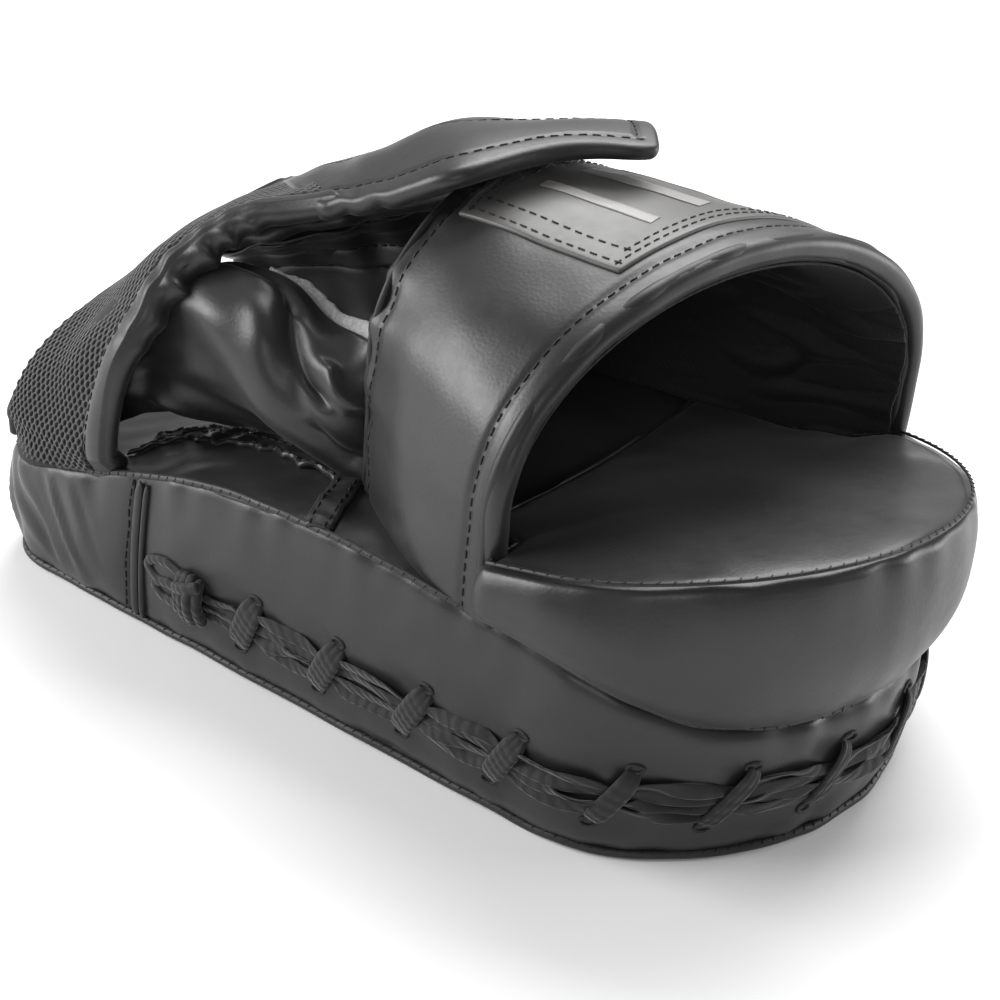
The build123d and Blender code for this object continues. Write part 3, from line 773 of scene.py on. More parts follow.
pad_stitches = []
low_line = np.c_[outline + outline_out * 0.4, np.full(ROUND, 3.3)]
pad_stitches.append(stitch_line(floor_edge, low_line, 3.2, 1.3, 0.18, 0.0, 0.9))
top_line = np.c_[outline + outline_out * 0.6, outline_top + 0.2]
pad_stitches.append(stitch_line(top_edge, top_line, 3.4, 1.4, 0.18, 0.0, 1.1))
for side in (1, -1):
    z = np.linspace(5, back_z(at(HEEL_SEAM)) - 3, 20)
    line = np.c_[side * (HALF + 2.5) + 0 * z, at(HEEL_SEAM) - 5.0 + 0.1 * (z - 3), z]
    pad_stitches.append(stitch_line(heel_wall, line, 3.4, 2.5))
sew("pad_stitches", pad_stitches)


# ---- laces ----------------------------------------------------------------------------------
STRANDS = 4
PITCH = (LACE_HIGH - LACE_LOW) / STRANDS


def wall_out(flat, out, z):
    """A spot on the side wall's outer surface at height z."""
    return flat + out * wall_bulge(flat, z, back_z(flat[..., 1]) - SEAM_DROP)[..., None]


def squeeze(run):
    """How much the wraps draw the strands together, from 0 between wraps to 1 at one."""
    return np.max([bell(run, wrap, 5.0) for wrap in WRAPS] + [bell(run, 0, 9.0)], axis=0)


def make_strands():
    """Flat strands that run round the wall, drawn together under every wrap."""
    parts = []
    run = np.linspace(-4, LACE_RUN[-1] + 4, 900)
    flat, way, out = lace_spot(np.clip(run, 1, LACE_RUN[-1] - 1))
    beyond = (run - np.clip(run, 0, LACE_RUN[-1]))[:, None]
    flat = flat + way * beyond
    tight = squeeze(run)
    for number in range(STRANDS):
        offset = (number + 0.5 - STRANDS / 2) * PITCH * 1.05
        wave = 0.5 * ripple(run[:, None], 40, 40 + number)
        z = LACE_MID + 0.6 + (offset + wave) * (1 - 0.40 * tight)
        lift = 0.55 + 0.3 * ripple(run[:, None], 40, 50 + number) * (1 - tight)
        lift = lift + 0.45 * (number % 2) - 0.2 * tight
        place = wall_out(flat, out, z) + out * lift[:, None]
        twist = 0.5 * ripple(run[:, None], 44, 60 + number) + 0.25 * (-1) ** number
        normal = np.c_[out, twist]
        tall = (PITCH * 0.66) * (1 - 0.34 * tight)
        parts.append(tube_grid(np.c_[place, z], normal, tall, 0.42, sides=12, taper=3))
    return join("lace_band", parts)


done(make_strands(), LACE, "pad", "lace", "lace_strands")


def flat_ribbon(path, normal, wide, thick, ribs=3):
    """A flat woven lace: shallow ribs along both faces and thin edges."""
    path = np.asarray(path, float)
    along = unit(np.gradient(path, axis=0))
    side = unit(np.cross(along, normal))
    lift = np.cross(side, along)
    u = np.linspace(-1, 1, 19)
    body = thick * (1 - np.abs(u) ** 5) * (0.80 + 0.20 * np.abs(np.cos(u * np.pi * ribs / 2)))
    across = np.concatenate([u, u[::-1][1:-1]])
    height = np.concatenate([body, -body[::-1][1:-1]])
    wide = np.broadcast_to(wide, len(path)).astype(float)
    grid = (path[:, None] + side[:, None] * across[None, :, None] * wide[:, None, None]
            + lift[:, None] * height[None, :, None])
    middle = grid.mean(1, keepdims=True)
    grid = np.concatenate([middle[:1] + 0 * grid[:1], grid, middle[-1:] + 0 * grid[-1:]])
    return grid.reshape(-1, 3), grid_faces(len(path) + 2, len(across), False, True)


def make_wraps():
    """Cross laces: each comes out of a hole above the band and goes in below it, leaning back."""
    parts = []
    rng = np.random.default_rng(7)
    for run in WRAPS:
        share = abs(run - LACE_RUN[-1] / 2) / (LACE_RUN[-1] / 2)
        width = 4.6 + 3.4 * share
        lean = (0.74 - 0.38 * share) * (1 + 0.15 * rng.uniform(-1, 1))
        steps = np.linspace(-1, 1, 34)
        tall = (LACE_HIGH - LACE_LOW) / 2 + 2.6
        along = run + lean * tall * steps
        z = LACE_MID + 0.8 + tall * steps
        flat, _, out = lace_spot(np.clip(along, 1, LACE_RUN[-1] - 1))
        over = 2.0 * np.clip(1 - np.abs(steps) ** 5, 0, 1) - 1.9 * np.abs(steps) ** 12
        place = wall_out(flat, out, z) + out * over[:, None]
        half = width / 2 * (1 - 0.42 * np.abs(steps) ** 5)
        parts.append(flat_ribbon(np.c_[place, z], np.c_[out, np.zeros(len(out))], half, 0.75))
    return join("lace_crossings", parts)


done(make_wraps(), LACE, "pad", "lace", "lace_wraps")


def make_eyelets():
    """Rolled rims of the lace holes, above and below the band."""
    parts = []
    turns = np.linspace(0, 2 * np.pi, 16, endpoint=False)
    for run in WRAPS:
        share = abs(run - LACE_RUN[-1] / 2) / (LACE_RUN[-1] / 2)
        lean = 0.62 - 0.30 * share
        for way_up in (-1, 1):
            tall = (LACE_HIGH - LACE_LOW) / 2 + 3.4
            spot = run + lean * tall * way_up
            z = LACE_MID + 0.8 + tall * way_up + 1.3 * np.sin(turns)
            flat, _, out = lace_spot(np.clip(spot + 2.1 * np.cos(turns), 1, LACE_RUN[-1] - 1))
            place = wall_out(flat, out, z) + out * 0.12
            normal = np.c_[out, np.zeros(16)]
            parts.append(tube_grid(np.c_[place, z], normal, 0.5, 0.45, closed=True, sides=8))
    return join("lace_holes", parts)


done(make_eyelets(), THREAD, "pad", "lace")


def ribbon_over(side, places, wide, high, samples=44, sides=12):
    """A lace end laid through given places: (distance from the heel, height, lift off the wall)."""
    knots = spline(np.array(places, float), np.linspace(0, len(places) - 1, samples))
    path = np.c_[side * (HALF + 1.0 + knots[:, 2]), at(knots[:, 0]), knots[:, 1]]
    return tube_grid(path, np.array([side, 0.0, 0.0]), wide, high, sides=sides, taper=3)


def make_knots():
    """Bulky knots where the lace ends, one on each side: four turns and one across them."""
    parts = []
    knot_s, knot_z = LACE_START - 6.5, LACE_MID + 1.6
    for side in (1, -1):
        turns = np.linspace(-1, 1, 9)
        for number, (lean, lift) in enumerate(((0.9, 2.6), (0.5, 3.6), (0.1, 4.2), (-0.4, 3.2))):
            aside = (number - 1.5) * 2.5
            rise = 8.6 - 0.7 * abs(number - 1.5)
            places = [(knot_s + aside + lean * t, knot_z + rise * t, lift * (1 - 0.75 * t * t) + 0.4)
                      for t in turns]
            parts.append(ribbon_over(side, places, 1.75, 1.5, 40))
        places = [(knot_s - 5 * t, knot_z + 4.2 - 2.0 * t, 4.4 - 1.2 * t * t) for t in turns]
        parts.append(ribbon_over(side, places, 1.9, 1.2, 36))
    return join("lace_knot", parts)


# one loop of the bow: its reach from the knot and its height as shares, and its lift off the wall
BOW = [(0, 0.4, 1.2), (0.45, 1, 1.5), (0.9, 0.5, 1.1), (1, -0.35, 1.0), (0.72, -1, 1.1),
       (0.3, -0.9, 1.6), (0, -0.6, 1.4)]


def make_loops():
    """The two loops of each bow, behind its knot."""
    parts = []
    knot_s, knot_z = LACE_START - 9, LACE_MID + 2
    for side in (1, -1):
        for rise, reach, tall in ((3.4, 14.5, 3.6), (-2.6, 12.0, 3.0)):
            places = [(knot_s - reach * back, knot_z + rise + tall * up, lift) for back, up, lift in BOW]
            parts.append(ribbon_over(side, places, 1.5, 0.8, 60))
    return join("lace_bow", parts)


done(make_knots(), LACE, "pad", "lace", "lace_knots")
done(make_loops(), LACE, "pad", "lace", "lace_loops")


# ---- finger cushion -------------------------------------------------------------------------
FRONT_NEAR, FRONT_FAR = 188.0, 229.0               # hood's front edge, at x = +75 and x = -75
HOOD_REAR = node_box("hood_rear_welt")[1][1] - HEEL - 3.0
RIM_TIP, RIM_SLOPE, RIM_LEAN = 83.0, 0.233, 0.14   # the rim's height at the tip, and its slopes
CUSHION_START = 172.0


def hood_front(x):
    return FRONT_NEAR + (FRONT_FAR - FRONT_NEAR) * (HALF - x) / (2 * HALF)


def rim_height(flat):
    """The cushion's leaning top plane, never below the back that it lies on."""
    plane = RIM_TIP + RIM_SLOPE * (flat[..., 1] - TOE) + RIM_LEAN * flat[..., 0]
    low = back_z(flat[..., 1]) + 2.2
    return low + 0.5 * (plane - low + np.sqrt((plane - low) ** 2 + 4.0))


def cushion_outline(count=420):
    """Round the finger end, then inside the hood's legs and across under the palm."""
    full = pad_outline(OVERHANG, FINE)
    inside = HALF - 12.5
    start = at(CUSHION_START)
    ahead = full[(full[:, 1] > at(hood_front(full[:, 0])) + 2.5)]
    ahead = ahead[np.argsort(np.arctan2(ahead[:, 1] - at(150), ahead[:, 0]))]
    near_in = [(inside, at(hood_front(inside)) - 3), (inside, start + 6), (inside - 6, start)]
    far_in = [(-inside + 6, start), (-inside, start + 6), (-inside, at(hood_front(-inside)) - 3)]
    loop = np.vstack([ahead, far_in[::-1], near_in[::-1], ahead[:1]])
    even = resample(loop, 1200)
    for _ in range(24):
        even = (np.roll(even, 1, 0) + 2 * even + np.roll(even, -1, 0)) / 4
    return resample(np.vstack([even, even[:1]]), count + 1)[:-1]


def make_cushion():
    """The cushion's closed cover, with its rim, the rim's outward directions and its heights."""
    rim = cushion_outline()
    centre = np.array([0.0, at(222)])
    way = unit(np.roll(rim, -1, 0) - np.roll(rim, 1, 0))
    out = np.c_[way[:, 1], -way[:, 0]]
    low = back_z(rim[:, 1]) + 1.0
    high = rim_height(rim)
    free = smooth_step(rim[:, 1] - at(hood_front(rim[:, 0])), -4, 6)

    def top(flat, share):
        crown = 2.2 * (1 - share ** 3) - 0.9 * share ** 16
        uneven = 0.4 * ripple(flat, 60, 71) * (1 - share ** 6) + 0.2 * ripple(flat, 20, 72) * share ** 4
        return rim_height(flat) + crown + uneven

    rows = disc_rows(rim, centre, 54, top)
    for share in np.linspace(0, 1, 34)[1:]:
        z = high - 0.6 + (low - high + 0.6) * share
        bulge = (4.0 * math.sin(math.pi * min(share ** 0.92, 1)) ** 0.75 - 3.6 * share ** 7) * free
        pucker = 0.22 * ripple(rim, 15, 73) * (math.exp(-share * 5) + math.exp((share - 1) * 6)) * free
        spots = np.c_[rim, z]
        push = bulge + pucker + 0.35 * ripple(spots, 42, 74) * math.sin(math.pi * share)
        rows.append(np.c_[rim + out * push[:, None], z])
    floor_rim = rows[-1][:, :2]
    rows += disc_rows(floor_rim, centre, 14, lambda p, t: back_z(p[:, 1]) + 1.0)[::-1][1:]
    return drum("finger_cushion", rows), rim, out, high


cushion, cushion_rim, cushion_out, cushion_high = make_cushion()


def cushion_held(points):
    """The rim seam, the foot seam and everything inside the hood's legs."""
    height = rim_height(points[:, :2])
    edge = np.abs(points[:, 2] - height + 0.4) < 1.2
    gaps = np.linalg.norm(points[:, None, :2] - cushion_rim[None, ::4], axis=2).min(1)
    foot = points[:, 2] < back_z(points[:, 1]) + 2.2
    return (edge & (gaps < 1.6)) | foot


puff(cushion, cushion_held, 3.0, 0.0, 3.0)
rim_path = np.c_[cushion_rim - cushion_out * 0.4, cushion_high - 0.1]
dent(cushion, [np.vstack([rim_path, rim_path[:1]]) + [0, 0, 0.4]], 1.5, 0.9)
done(cushion, LEATHER, "pad", "leather", "cushion_foam", "cushion_top", "cushion_band", fill=0.9)
seen = cushion_rim[:, 1] > at(hood_front(cushion_rim[:, 0])) - 6
seen_order = np.roll(np.arange(len(cushion_rim)), -np.argmax(~seen))
seen_order = seen_order[seen[seen_order]]
rim_line = rim_path[seen_order]
rim_normal = np.c_[cushion_out[seen_order], np.ones(len(rim_line))]
points, faces = tube_grid(rim_line + [0, 0, 0.1], rim_normal, 0.5, 0.4, taper=4)
rim_piping = done(mesh_object("cushion_seam", points, faces), LEATHER_TRIM, "pad", "piping", "cushion_welt")
sew("cushion_stitches", [stitch_line(rim_piping, rim_line + [0, 0, 1.0], 3.6, 1.6, 0.2, 0.0, 0.8)])


# ---- palm ball ------------------------------------------------------------------------------
def make_palm_ball():
    low, high = node_box("palm_ball_cover")
    centre = (low[:2] + high[:2]) / 2
    radius = (high[0] - low[0]) / 2
    turns = np.linspace(0, 2 * np.pi, 120, endpoint=False)
    rim = centre + radius * np.c_[np.cos(turns), np.sin(turns)]
    crown = high[2]

    def top(flat, share):
        base = back_z(flat[:, 1]) + 0.4
        return base + (crown - base) * (1 - share ** 3.4) ** 0.55 + 0.25 * ripple(flat, 14, 81) * (1 - share)

    rows = disc_rows(rim, centre, 34, top)
    rows += disc_rows(rim, centre, 8, lambda p, t: back_z(p[:, 1]) - 0.4)[::-1]
    return drum("palm_pad", rows)


palm = make_palm_ball()
puff(palm, lambda p: p[:, 2] < back_z(p[:, 1]) + 1.5, 3.0, 0.0, 2.0, calm=20)
done(palm, LEATHER, "pad", "leather", "palm_ball", "palm_ball_cover", fill=0.9)


# ---- hood -----------------------------------------------------------------------------------
REAR_HALF, REAR_SPRING, REAR_CROWN = 52.0, 100.0, 137.0
FRONT_HALF, FRONT_SPRING, FRONT_CROWN = 76.0, 85.0, 137.0
HOOD_THICK = 8.6
HOOD_FOOT = 57.8                                   # height at which the legs are cut to the back
HOOD_AXIS = [0, 0, 75.0]                           # a point of the hood's long axis
HOOD_ROWS, HOOD_COLUMNS = 240, 90


def arch_at(half, spring, crown, foot, share):
    """Points of a legged half ellipse, by share of its length from the near foot to the far one."""
    turns = np.linspace(0, np.pi, 200)
    over = np.c_[half * np.cos(turns), spring + (crown - spring) * np.sin(turns)]
    line = np.vstack([[half, foot], over, [-half, foot]])
    run = lengths(line)
    return read_path(np.clip(share, 0, 1) * run[-1], run, line)


def hood_surface(over, along):
    """Outer surface: `over` runs from the near foot (0) to the far foot (1), `along` from the
    rear edge (0) to the front edge (1)."""
    over, along = np.broadcast_arrays(np.asarray(over, float), np.asarray(along, float))
    rear = arch_at(REAR_HALF, REAR_SPRING, REAR_CROWN, HOOD_FOOT, over)
    front = arch_at(FRONT_HALF, FRONT_SPRING, FRONT_CROWN, HOOD_FOOT, over)
    y = at(HOOD_REAR) + (at(hood_front(front[..., 0])) - at(HOOD_REAR)) * along
    swell = 4.5 * hump(along) * (bell(over, 0, 0.22) + bell(over, 1, 0.22))
    flat = rear + (front - rear) * along[..., None]
    x = flat[..., 0] + np.sign(flat[..., 0]) * swell
    z = flat[..., 1]
    low = back_z(y) + 0.6
    legs = smooth_step(z, 75, 57)
    z = z + (low - HOOD_FOOT) * legs
    return np.stack([x, y, z], axis=-1)


def from_axis(path):
    """Directions out of the hood's long axis, square to it."""
    return unit((path - HOOD_AXIS) * [1, 0, 1])


def hood_grid():
    """The hood's outer surface with its padding, unevenness and creases, and where along it is."""
    over, along = steps_grid((0, 1), HOOD_ROWS, (0, 1), HOOD_COLUMNS)
    points = hood_surface(over, along)
    normal = turned_normals(points, HOOD_ROWS // 2, HOOD_COLUMNS // 2, 2)
    puffed = 1.6 * hump(along, 0.6) * hump(over, 0.4)
    cloud = 0.5 * ripple(points, 60, 91) + 0.14 * ripple(points, 22, 92)
    creases = 0.45 * ripple(np.stack([over * 260, along * 14], axis=-1), 15, 93) * np.exp(-along / 0.10)
    return points + normal * (puffed + cloud * hump(along, 0.5) + creases)[..., None], along


hood_points, hood_along = hood_grid()
thick = HOOD_THICK - 2.2 * smooth_step(hood_along, 0.85, 1.0) - 4.0 * smooth_step(hood_along, 0.2, 0.0)
hood_flip = faces_down(hood_points, HOOD_ROWS // 2, HOOD_COLUMNS // 2, 2)
hood = shell("hood_cover", hood_points, thick, flip=hood_flip, rim=5)
done(hood, LEATHER, "pad", "leather", "hood_shell", "hood_padding", fill=0.7)


def above_hood(over, along, lift=5.0):
    """Spots lifted clear of the hood, so that a patch over it is found from outside."""
    path = hood_surface(over, along)
    return path + from_axis(path) * lift


def hood_line(start, end, count=60):
    """A path on the hood between two (over, along) spots."""
    return hood_surface(np.linspace(start[0], end[0], count), np.linspace(start[1], end[1], count))


binding_line = hood_line((0.0, 0.885), (1.0, 0.915), 200)
dent(hood, [binding_line], 1.3, 0.75)
rear_line = hood_line((0.0, 0.055), (1.0, 0.055), 200)
dent(hood, [rear_line], 1.3, 0.5)


def edge_roll(name, along, count, sunk, size, seed, uneven, wide, high, sides):
    """Rolled strip along one edge of the hood."""
    path = hood_line((0, along), (1, along), count)
    outward = from_axis(path)
    spot = path - outward * sunk + ripple(path, size, seed)[:, None] * uneven
    points, faces = tube_grid(spot, outward, wide, high, sides=sides, taper=4)
    return mesh_object(name, points, faces)


front_roll = edge_roll("hood_front_binding", 0.985, 260, 3.3, 16, 95, 0.18, 2.6, 3.7, 18)
done(front_roll, LEATHER_TRIM, "pad", "piping", "hood_binding")
rear_roll = edge_roll("hood_rear_seam", 0.0, 240, 0.8, 14, 97, 0.2, 1.1, 1.5, 12)
done(rear_roll, LEATHER_TRIM, "pad", "piping", "hood_rear_welt")


def make_hood_lining():
    """Lining inside the hood, near-black partly in its own colour and partly as painted shade, gathered in
    soft folds where it turns down on the far side.
    """
    over, along = steps_grid((0.004, 0.996), 300, (0.02, 0.985), 60)
    points = hood_surface(over, along)
    normal = turned_normals(points, 150, 30, 2)
    gather = ripple(np.stack([over * 210, along * 26], axis=-1), 11, 99)
    folds = np.maximum(gather, -0.3) * 1.5 * smooth_step(over, 0.66, 0.86) * smooth_step(along, 0.2, 0.8)
    depth = HOOD_THICK + 0.6 + 0.8 * ripple(points, 40, 98) * hump(along)
    depth = depth - 2.0 * smooth_step(along, 0.85, 1.0) - 3.6 * smooth_step(along, 0.2, 0.0)
    inner = points - normal * (depth + np.abs(folds) * 1.3)[..., None]
    return shell("hood_inside", inner, 0.9, flip=hood_flip)


done(make_hood_lining(), LINING_WITH_PAINTED_SHADE, "pad", "lining", "hood_lining")

PATCH_NEAR, PATCH_FAR = 0.385, 0.71               # the patch's sides, as shares over the hood
PATCH_REAR, PATCH_FRONT = 0.10, 0.83


def make_patch():
    over, along = steps_grid((PATCH_NEAR, PATCH_FAR), 90, (PATCH_REAR, PATCH_FRONT), 60)
    spots, ups = press(hood, above_hood(over, along).reshape(-1, 3))
    grid = (spots + ups * 0.9).reshape(90, 60, 3)
    return shell("hood_patch_cover", grid, 1.4, flip=outward_flip(grid, ups.reshape(90, 60, 3)))


patch = done(make_patch(), PATCH, "pad", "print_patch", "hood_patch")


def make_print():
    """Three plain, straight, parallel pale bars on the patch, a generic pattern of its own."""
    parts = []
    along = np.linspace(0.25, 0.70, 60)
    for place, wide in ((0.475, 2.4), (0.548, 3.6), (0.621, 2.4)):
        spots, ups = press(patch, above_hood(np.full(60, place), along, 6.0))
        parts.append(tube_grid(spots + ups * 0.03, ups, wide, 0.14, sides=8))
    return join("patch_print", parts)


done(make_print(), PRINT, "pad", "print_patch")

hood_stitches = [stitch_line(hood, line, 3.6, 2.4, 0.26) for line in (binding_line, rear_line)]
for inset in (0.0, 0.022):
    a, b = PATCH_NEAR + 0.008 + inset, PATCH_FAR - 0.008 - inset
    c, d = PATCH_REAR + 0.03 + 1.6 * inset, PATCH_FRONT - 0.03 - 1.6 * inset
    for start, end in (((a, c), (b, c)), ((b, c), (b, d)), ((b, d), (a, d)), ((a, d), (a, c))):
        edge = hood_line(start, end)
        hood_stitches.append(stitch_line(patch, edge + from_axis(edge) * 6.0, 3.4, 2.2, 0.22))
sew("hood_stitches", hood_stitches)


# ---- thumb pocket ---------------------------------------------------------------------------
# sections of the pocket's outer side, from its hem up: (x, distance from the heel, height)
POCKET = [
    [(60, 38, 48), (61, 38, 51), (60, 39, 55), (57, 40, 59), (50, 41, 63), (42, 42, 64)],
    [(60, 46, 51), (62, 46, 57), (61, 46, 63), (57, 47, 70), (49, 48, 76), (43, 49, 77)],
    [(56, 55, 56), (62, 55, 64), (62, 55, 74), (58, 55, 84), (50, 56, 91), (46, 57, 93)],
    [(48, 62, 57), (58, 62, 64), (62, 62, 77), (57, 63, 89), (48, 64, 97), (44, 65, 99)],
    [(44, 72, 57), (56, 71, 64), (62, 70, 79), (57, 71, 94), (47, 73, 104), (42, 75, 105)],
    [(43, 84, 58), (54, 83, 65), (60, 82, 80), (57, 83, 97), (47, 84, 106), (40, 86, 106)],
    [(43, 96, 58), (51, 96, 64), (58, 95, 78), (57, 96, 95), (48, 98, 105), (40, 98, 105)],
    [(43, 108, 58), (49, 108, 63), (57, 107, 76), (58, 108, 91), (50, 109, 99), (41, 110, 99)],
    [(44, 119, 58), (49, 119, 63), (56, 119, 74), (58, 119, 86), (51, 120, 93), (42, 121, 98)],
    [(46, 127, 58), (50, 127, 63), (54, 127, 72), (55, 127, 83), (50, 127, 91), (44, 127, 98.5)],
    [(50, 134, 59), (50, 134, 64), (48, 134, 73), (46, 134, 83), (44, 134, 92), (43, 134, 100)],
]


# ridges and, for a negative height, valleys of the pocket: two spots as shares of its length and
# of its height, then the fold's width, height and bend
FOLDS = [
    ((0.30, 0.74), (0.93, 0.12), 0.090, 3.2, -0.05),
    ((0.24, 0.36), (0.88, 0.03), 0.075, -2.6, -0.04),
    ((0.12, 0.62), (0.42, 0.40), 0.060, -1.6, 0.02),
    ((0.16, 0.20), (0.40, 0.62), 0.055, 1.4, -0.03),
    ((0.62, 0.86), (0.84, 0.60), 0.050, -3.6, 0.03),
    ((0.70, 0.62), (0.98, 0.28), 0.050, -2.6, 0.03),
    ((0.60, 0.72), (0.80, 0.45), 0.045, 1.6, 0.02),
    ((0.80, 0.78), (0.97, 0.62), 0.040, 2.4, 0.02),
    ((0.42, 0.93), (0.66, 0.86), 0.050, -1.8, 0.0),
    ((0.30, 0.22), (0.52, 0.06), 0.035, 1.5, 0.0),
]


def pocket_grid(rows, columns):
    """The pocket's outer surface, with its folds, the gathers at its hem and some unevenness."""
    knots = np.array(POCKET, float)
    by_row = spline(knots, np.linspace(0, len(POCKET) - 1, rows))
    grid = spline(by_row.transpose(1, 0, 2), np.linspace(0, 5, columns)).transpose(1, 0, 2)
    grid[..., 1] = at(grid[..., 1])
    normal = turned_normals(grid, rows // 2, columns // 2, 0)
    u, v = steps_grid((0, 1), rows, (0, 1), columns)
    push = np.zeros_like(u)
    for start, end, width, height, bend in FOLDS:
        a, b = np.array(start), np.array(end)
        way = b - a
        share = np.clip(((u - a[0]) * way[0] + (v - a[1]) * way[1]) / (way @ way), -0.2, 1.2)
        aside = ((u - a[0]) * way[1] - (v - a[1]) * way[0]) / np.linalg.norm(way)
        aside = aside - bend * hump(np.clip(share, 0, 1))
        ends = smooth_step(share, -0.15, 0.12) * smooth_step(share, 1.15, 0.85)
        push = push + height * bell(aside, 0, width) * ends
    gathers = 0.40 * ripple(np.stack([u * 80, v * 5], -1), 6.5, 111) * np.exp(-v / 0.10)
    cloud = 0.5 * ripple(grid, 34, 112) + 0.1 * ripple(grid, 14, 113)
    push = push + gathers + cloud * hump(v, 0.6)
    return grid + normal * push[..., None]


POCKET_ROWS, POCKET_COLUMNS = 150, 110
FELT_ROW, FELT_COLUMN = 78, 92                     # where the felt begins in the pocket's grid
pocket_points = pocket_grid(POCKET_ROWS, POCKET_COLUMNS)
pocket_flip = faces_down(pocket_points, POCKET_ROWS // 2, POCKET_COLUMNS // 2, 0)
pocket = shell("thumb_cover", pocket_points, COVER, flip=pocket_flip)
done(pocket, LEATHER, "pad", "leather", "thumb_dome")


def make_felt():
    """Raw felt lining whose edge stands above the leather over the front half of the pocket."""
    top = pocket_points[FELT_ROW:, FELT_COLUMN:]
    normal = grid_normals(pocket_points)[FELT_ROW:, FELT_COLUMN:] * (-1 if pocket_flip else 1)
    under = top - normal * 1.75
    rise = unit(top[:, -1] - top[:, -3])
    row = np.arange(len(top))
    fade = smooth_step(row, 0, 10) * smooth_step(row, 72, 60)
    lifts = np.linspace(0, 1, 5)[1:]
    edge = under[:, -1:] + rise[:, None] * (lifts[None, :, None] * (4.2 * fade)[:, None, None])
    edge = edge + normal[:, -1:] * 1.6 * lifts[None, :, None]
    grid = np.concatenate([under, edge], axis=1)
    grid = grid + 0.14 * ripple(grid, 3.0, 121)[..., None] * normal[:, -1:]
    return shell("thumb_felt", grid, 1.7, flip=pocket_flip)


done(make_felt(), FELT, "pad", "felt", "thumb_lining")


def hem_edges(distance):
    """X of the hem's inner and outer edge."""
    inner = np.interp(distance, [55, 60, 68, 125], [51, 46, 42.5, 43.5])
    outer = np.interp(distance, [55, 62, 66, 78, 92, 105, 127], [64, 55, 50.5, 52, 50, 51.5, 54])
    return inner, outer


def make_hem():
    """Flap of the pocket sewn flat to the back: a wavy strip with a raised lower edge."""
    steps = np.linspace(0, 1, 150)
    distance = 56 + (127 - 56) * steps
    inner, outer = hem_edges(distance)
    inner = inner + 0.8 * ripple(distance[:, None], 16, 131)
    outer = outer + 0.5 * ripple(distance[:, None], 11, 132)
    columns = np.linspace(0, 1, 26)
    x = inner[:, None] + (outer - inner)[:, None] * columns[None]
    y = at(distance)[:, None] + 0 * x
    crest = 0.9 * hump(columns, 0.5) + 0.9 * bell(columns, 0.12, 0.10) + 0.5 * bell(columns, 0.92, 0.06)
    z = back_z(y) + 1.3 + crest + 0.35 * ripple(np.stack([x, y], -1), 8, 133)
    grid = np.stack([x, y, z], axis=-1)
    return shell("thumb_hem_strip", grid, 1.6, flip=faces_down(grid, 75, 13, 2))


hem = done(make_hem(), LEATHER, "pad", "leather", "thumb_hem")


def hem_line(share):
    distance = np.linspace(58, 126, 60)
    inner, outer = hem_edges(distance)
    return np.c_[inner + (outer - inner) * share, at(distance), back_z(at(distance)) + 3]


hem_lines = [hem_line(0.12), hem_line(0.42), hem_line(0.97)]
dent(hem, hem_lines[:2], 0.9, 0.5)
thumb_stitches = [stitch_line(hem, line, 3.4, 2.4, 0.36) for line in hem_lines[:2]]
thumb_stitches.append(stitch_line(hem, hem_lines[2], 3.4, 2.2, 0.3))
sew("thumb_stitches", thumb_stitches)


def make_tab():
    """Slanting strap from the hem to the pad's edge, lying on the back."""
    steps = np.linspace(0, 1, 60)
    line = np.c_[44.5 + 29.5 * steps, at(125 + 10.5 * steps)]
    way = unit(line[-1] - line[0])
    side = np.array([-way[1], way[0]])
    columns = np.linspace(-3.4, 3.4, 18)
    flat = line[:, None] + side[None, None] * columns[None, :, None]
    z = back_z(flat[..., 1]) + 2.6 - 0.25 * (columns[None] / 3.4) ** 4 + 0.25 * ripple(flat, 9, 141)
    z = z - 1.2 * smooth_step(steps, 0.9, 1)[:, None]
    grid = np.concatenate([flat, z[..., None]], axis=2)
    return shell("side_tab_cover", grid, COVER, flip=faces_down(grid, 30, 9, 2)), line, side


tab, tab_line, tab_side = make_tab()
done(tab, LEATHER_TRIM, "pad", "leather", "side_tab")
tab_paths = [np.c_[tab_line + tab_side * k, back_z(tab_line[:, 1]) + 3] for k in (2.4, -2.4)]
sew("tab_stitches", [stitch_line(tab, path, 3.2, 2.2, 0.3) for path in tab_paths])


# ---- far wall -------------------------------------------------------------------------------
WALL_REAR_END = node_box("far_wall")[0][1] - HEEL
WALL_SECTIONS = [(WALL_REAR_END, 44.0, 52.0, 78.0), (131.5, 51.0, 99.0, 136.0)]
WALL_TOP_SHARE = 0.46
WALL_ROWS = (0.36, 0.46, 0.57, 0.69)               # sewn rows on its inner side, from the top down


def wall_surface(over, along, inset=0.0):
    """Arched wall on the far side: `over` from its top edge (0) to its foot (1)."""
    over, along = np.broadcast_arrays(np.asarray(over, float), np.asarray(along, float))
    ends = []
    for distance, half, spring, crown in WALL_SECTIONS:
        share = WALL_TOP_SHARE + (1 - WALL_TOP_SHARE) * over
        flat = arch_at(half - inset, spring, crown - inset, 57.0, share)
        ends.append(np.stack([flat[..., 0], np.full(over.shape, at(distance)), flat[..., 1]], axis=-1))
    points = ends[0] + (ends[1] - ends[0]) * along[..., None]
    points[..., 2] += smooth_step(points[..., 2], 68, 57) * (back_z(points[..., 1]) + 0.8 - 57.0)
    return points


def make_far_wall():
    over, along = steps_grid((0, 1), 110, (0, 1), 80)
    points = wall_surface(over, along)
    low = back_z(points[..., 1]) + 0.6
    points[..., 2] = np.maximum(points[..., 2], low)
    normal = turned_normals(points, 10, 40, 2)
    push = 0.9 * ripple(points, 36, 151) + 0.3 * ripple(points, 15, 152)
    points = points + normal * (push * hump(along, 0.5))[..., None]
    return shell("far_wall_cover", points, 5.2, flip=faces_down(points, 10, 40, 2), rim=5)


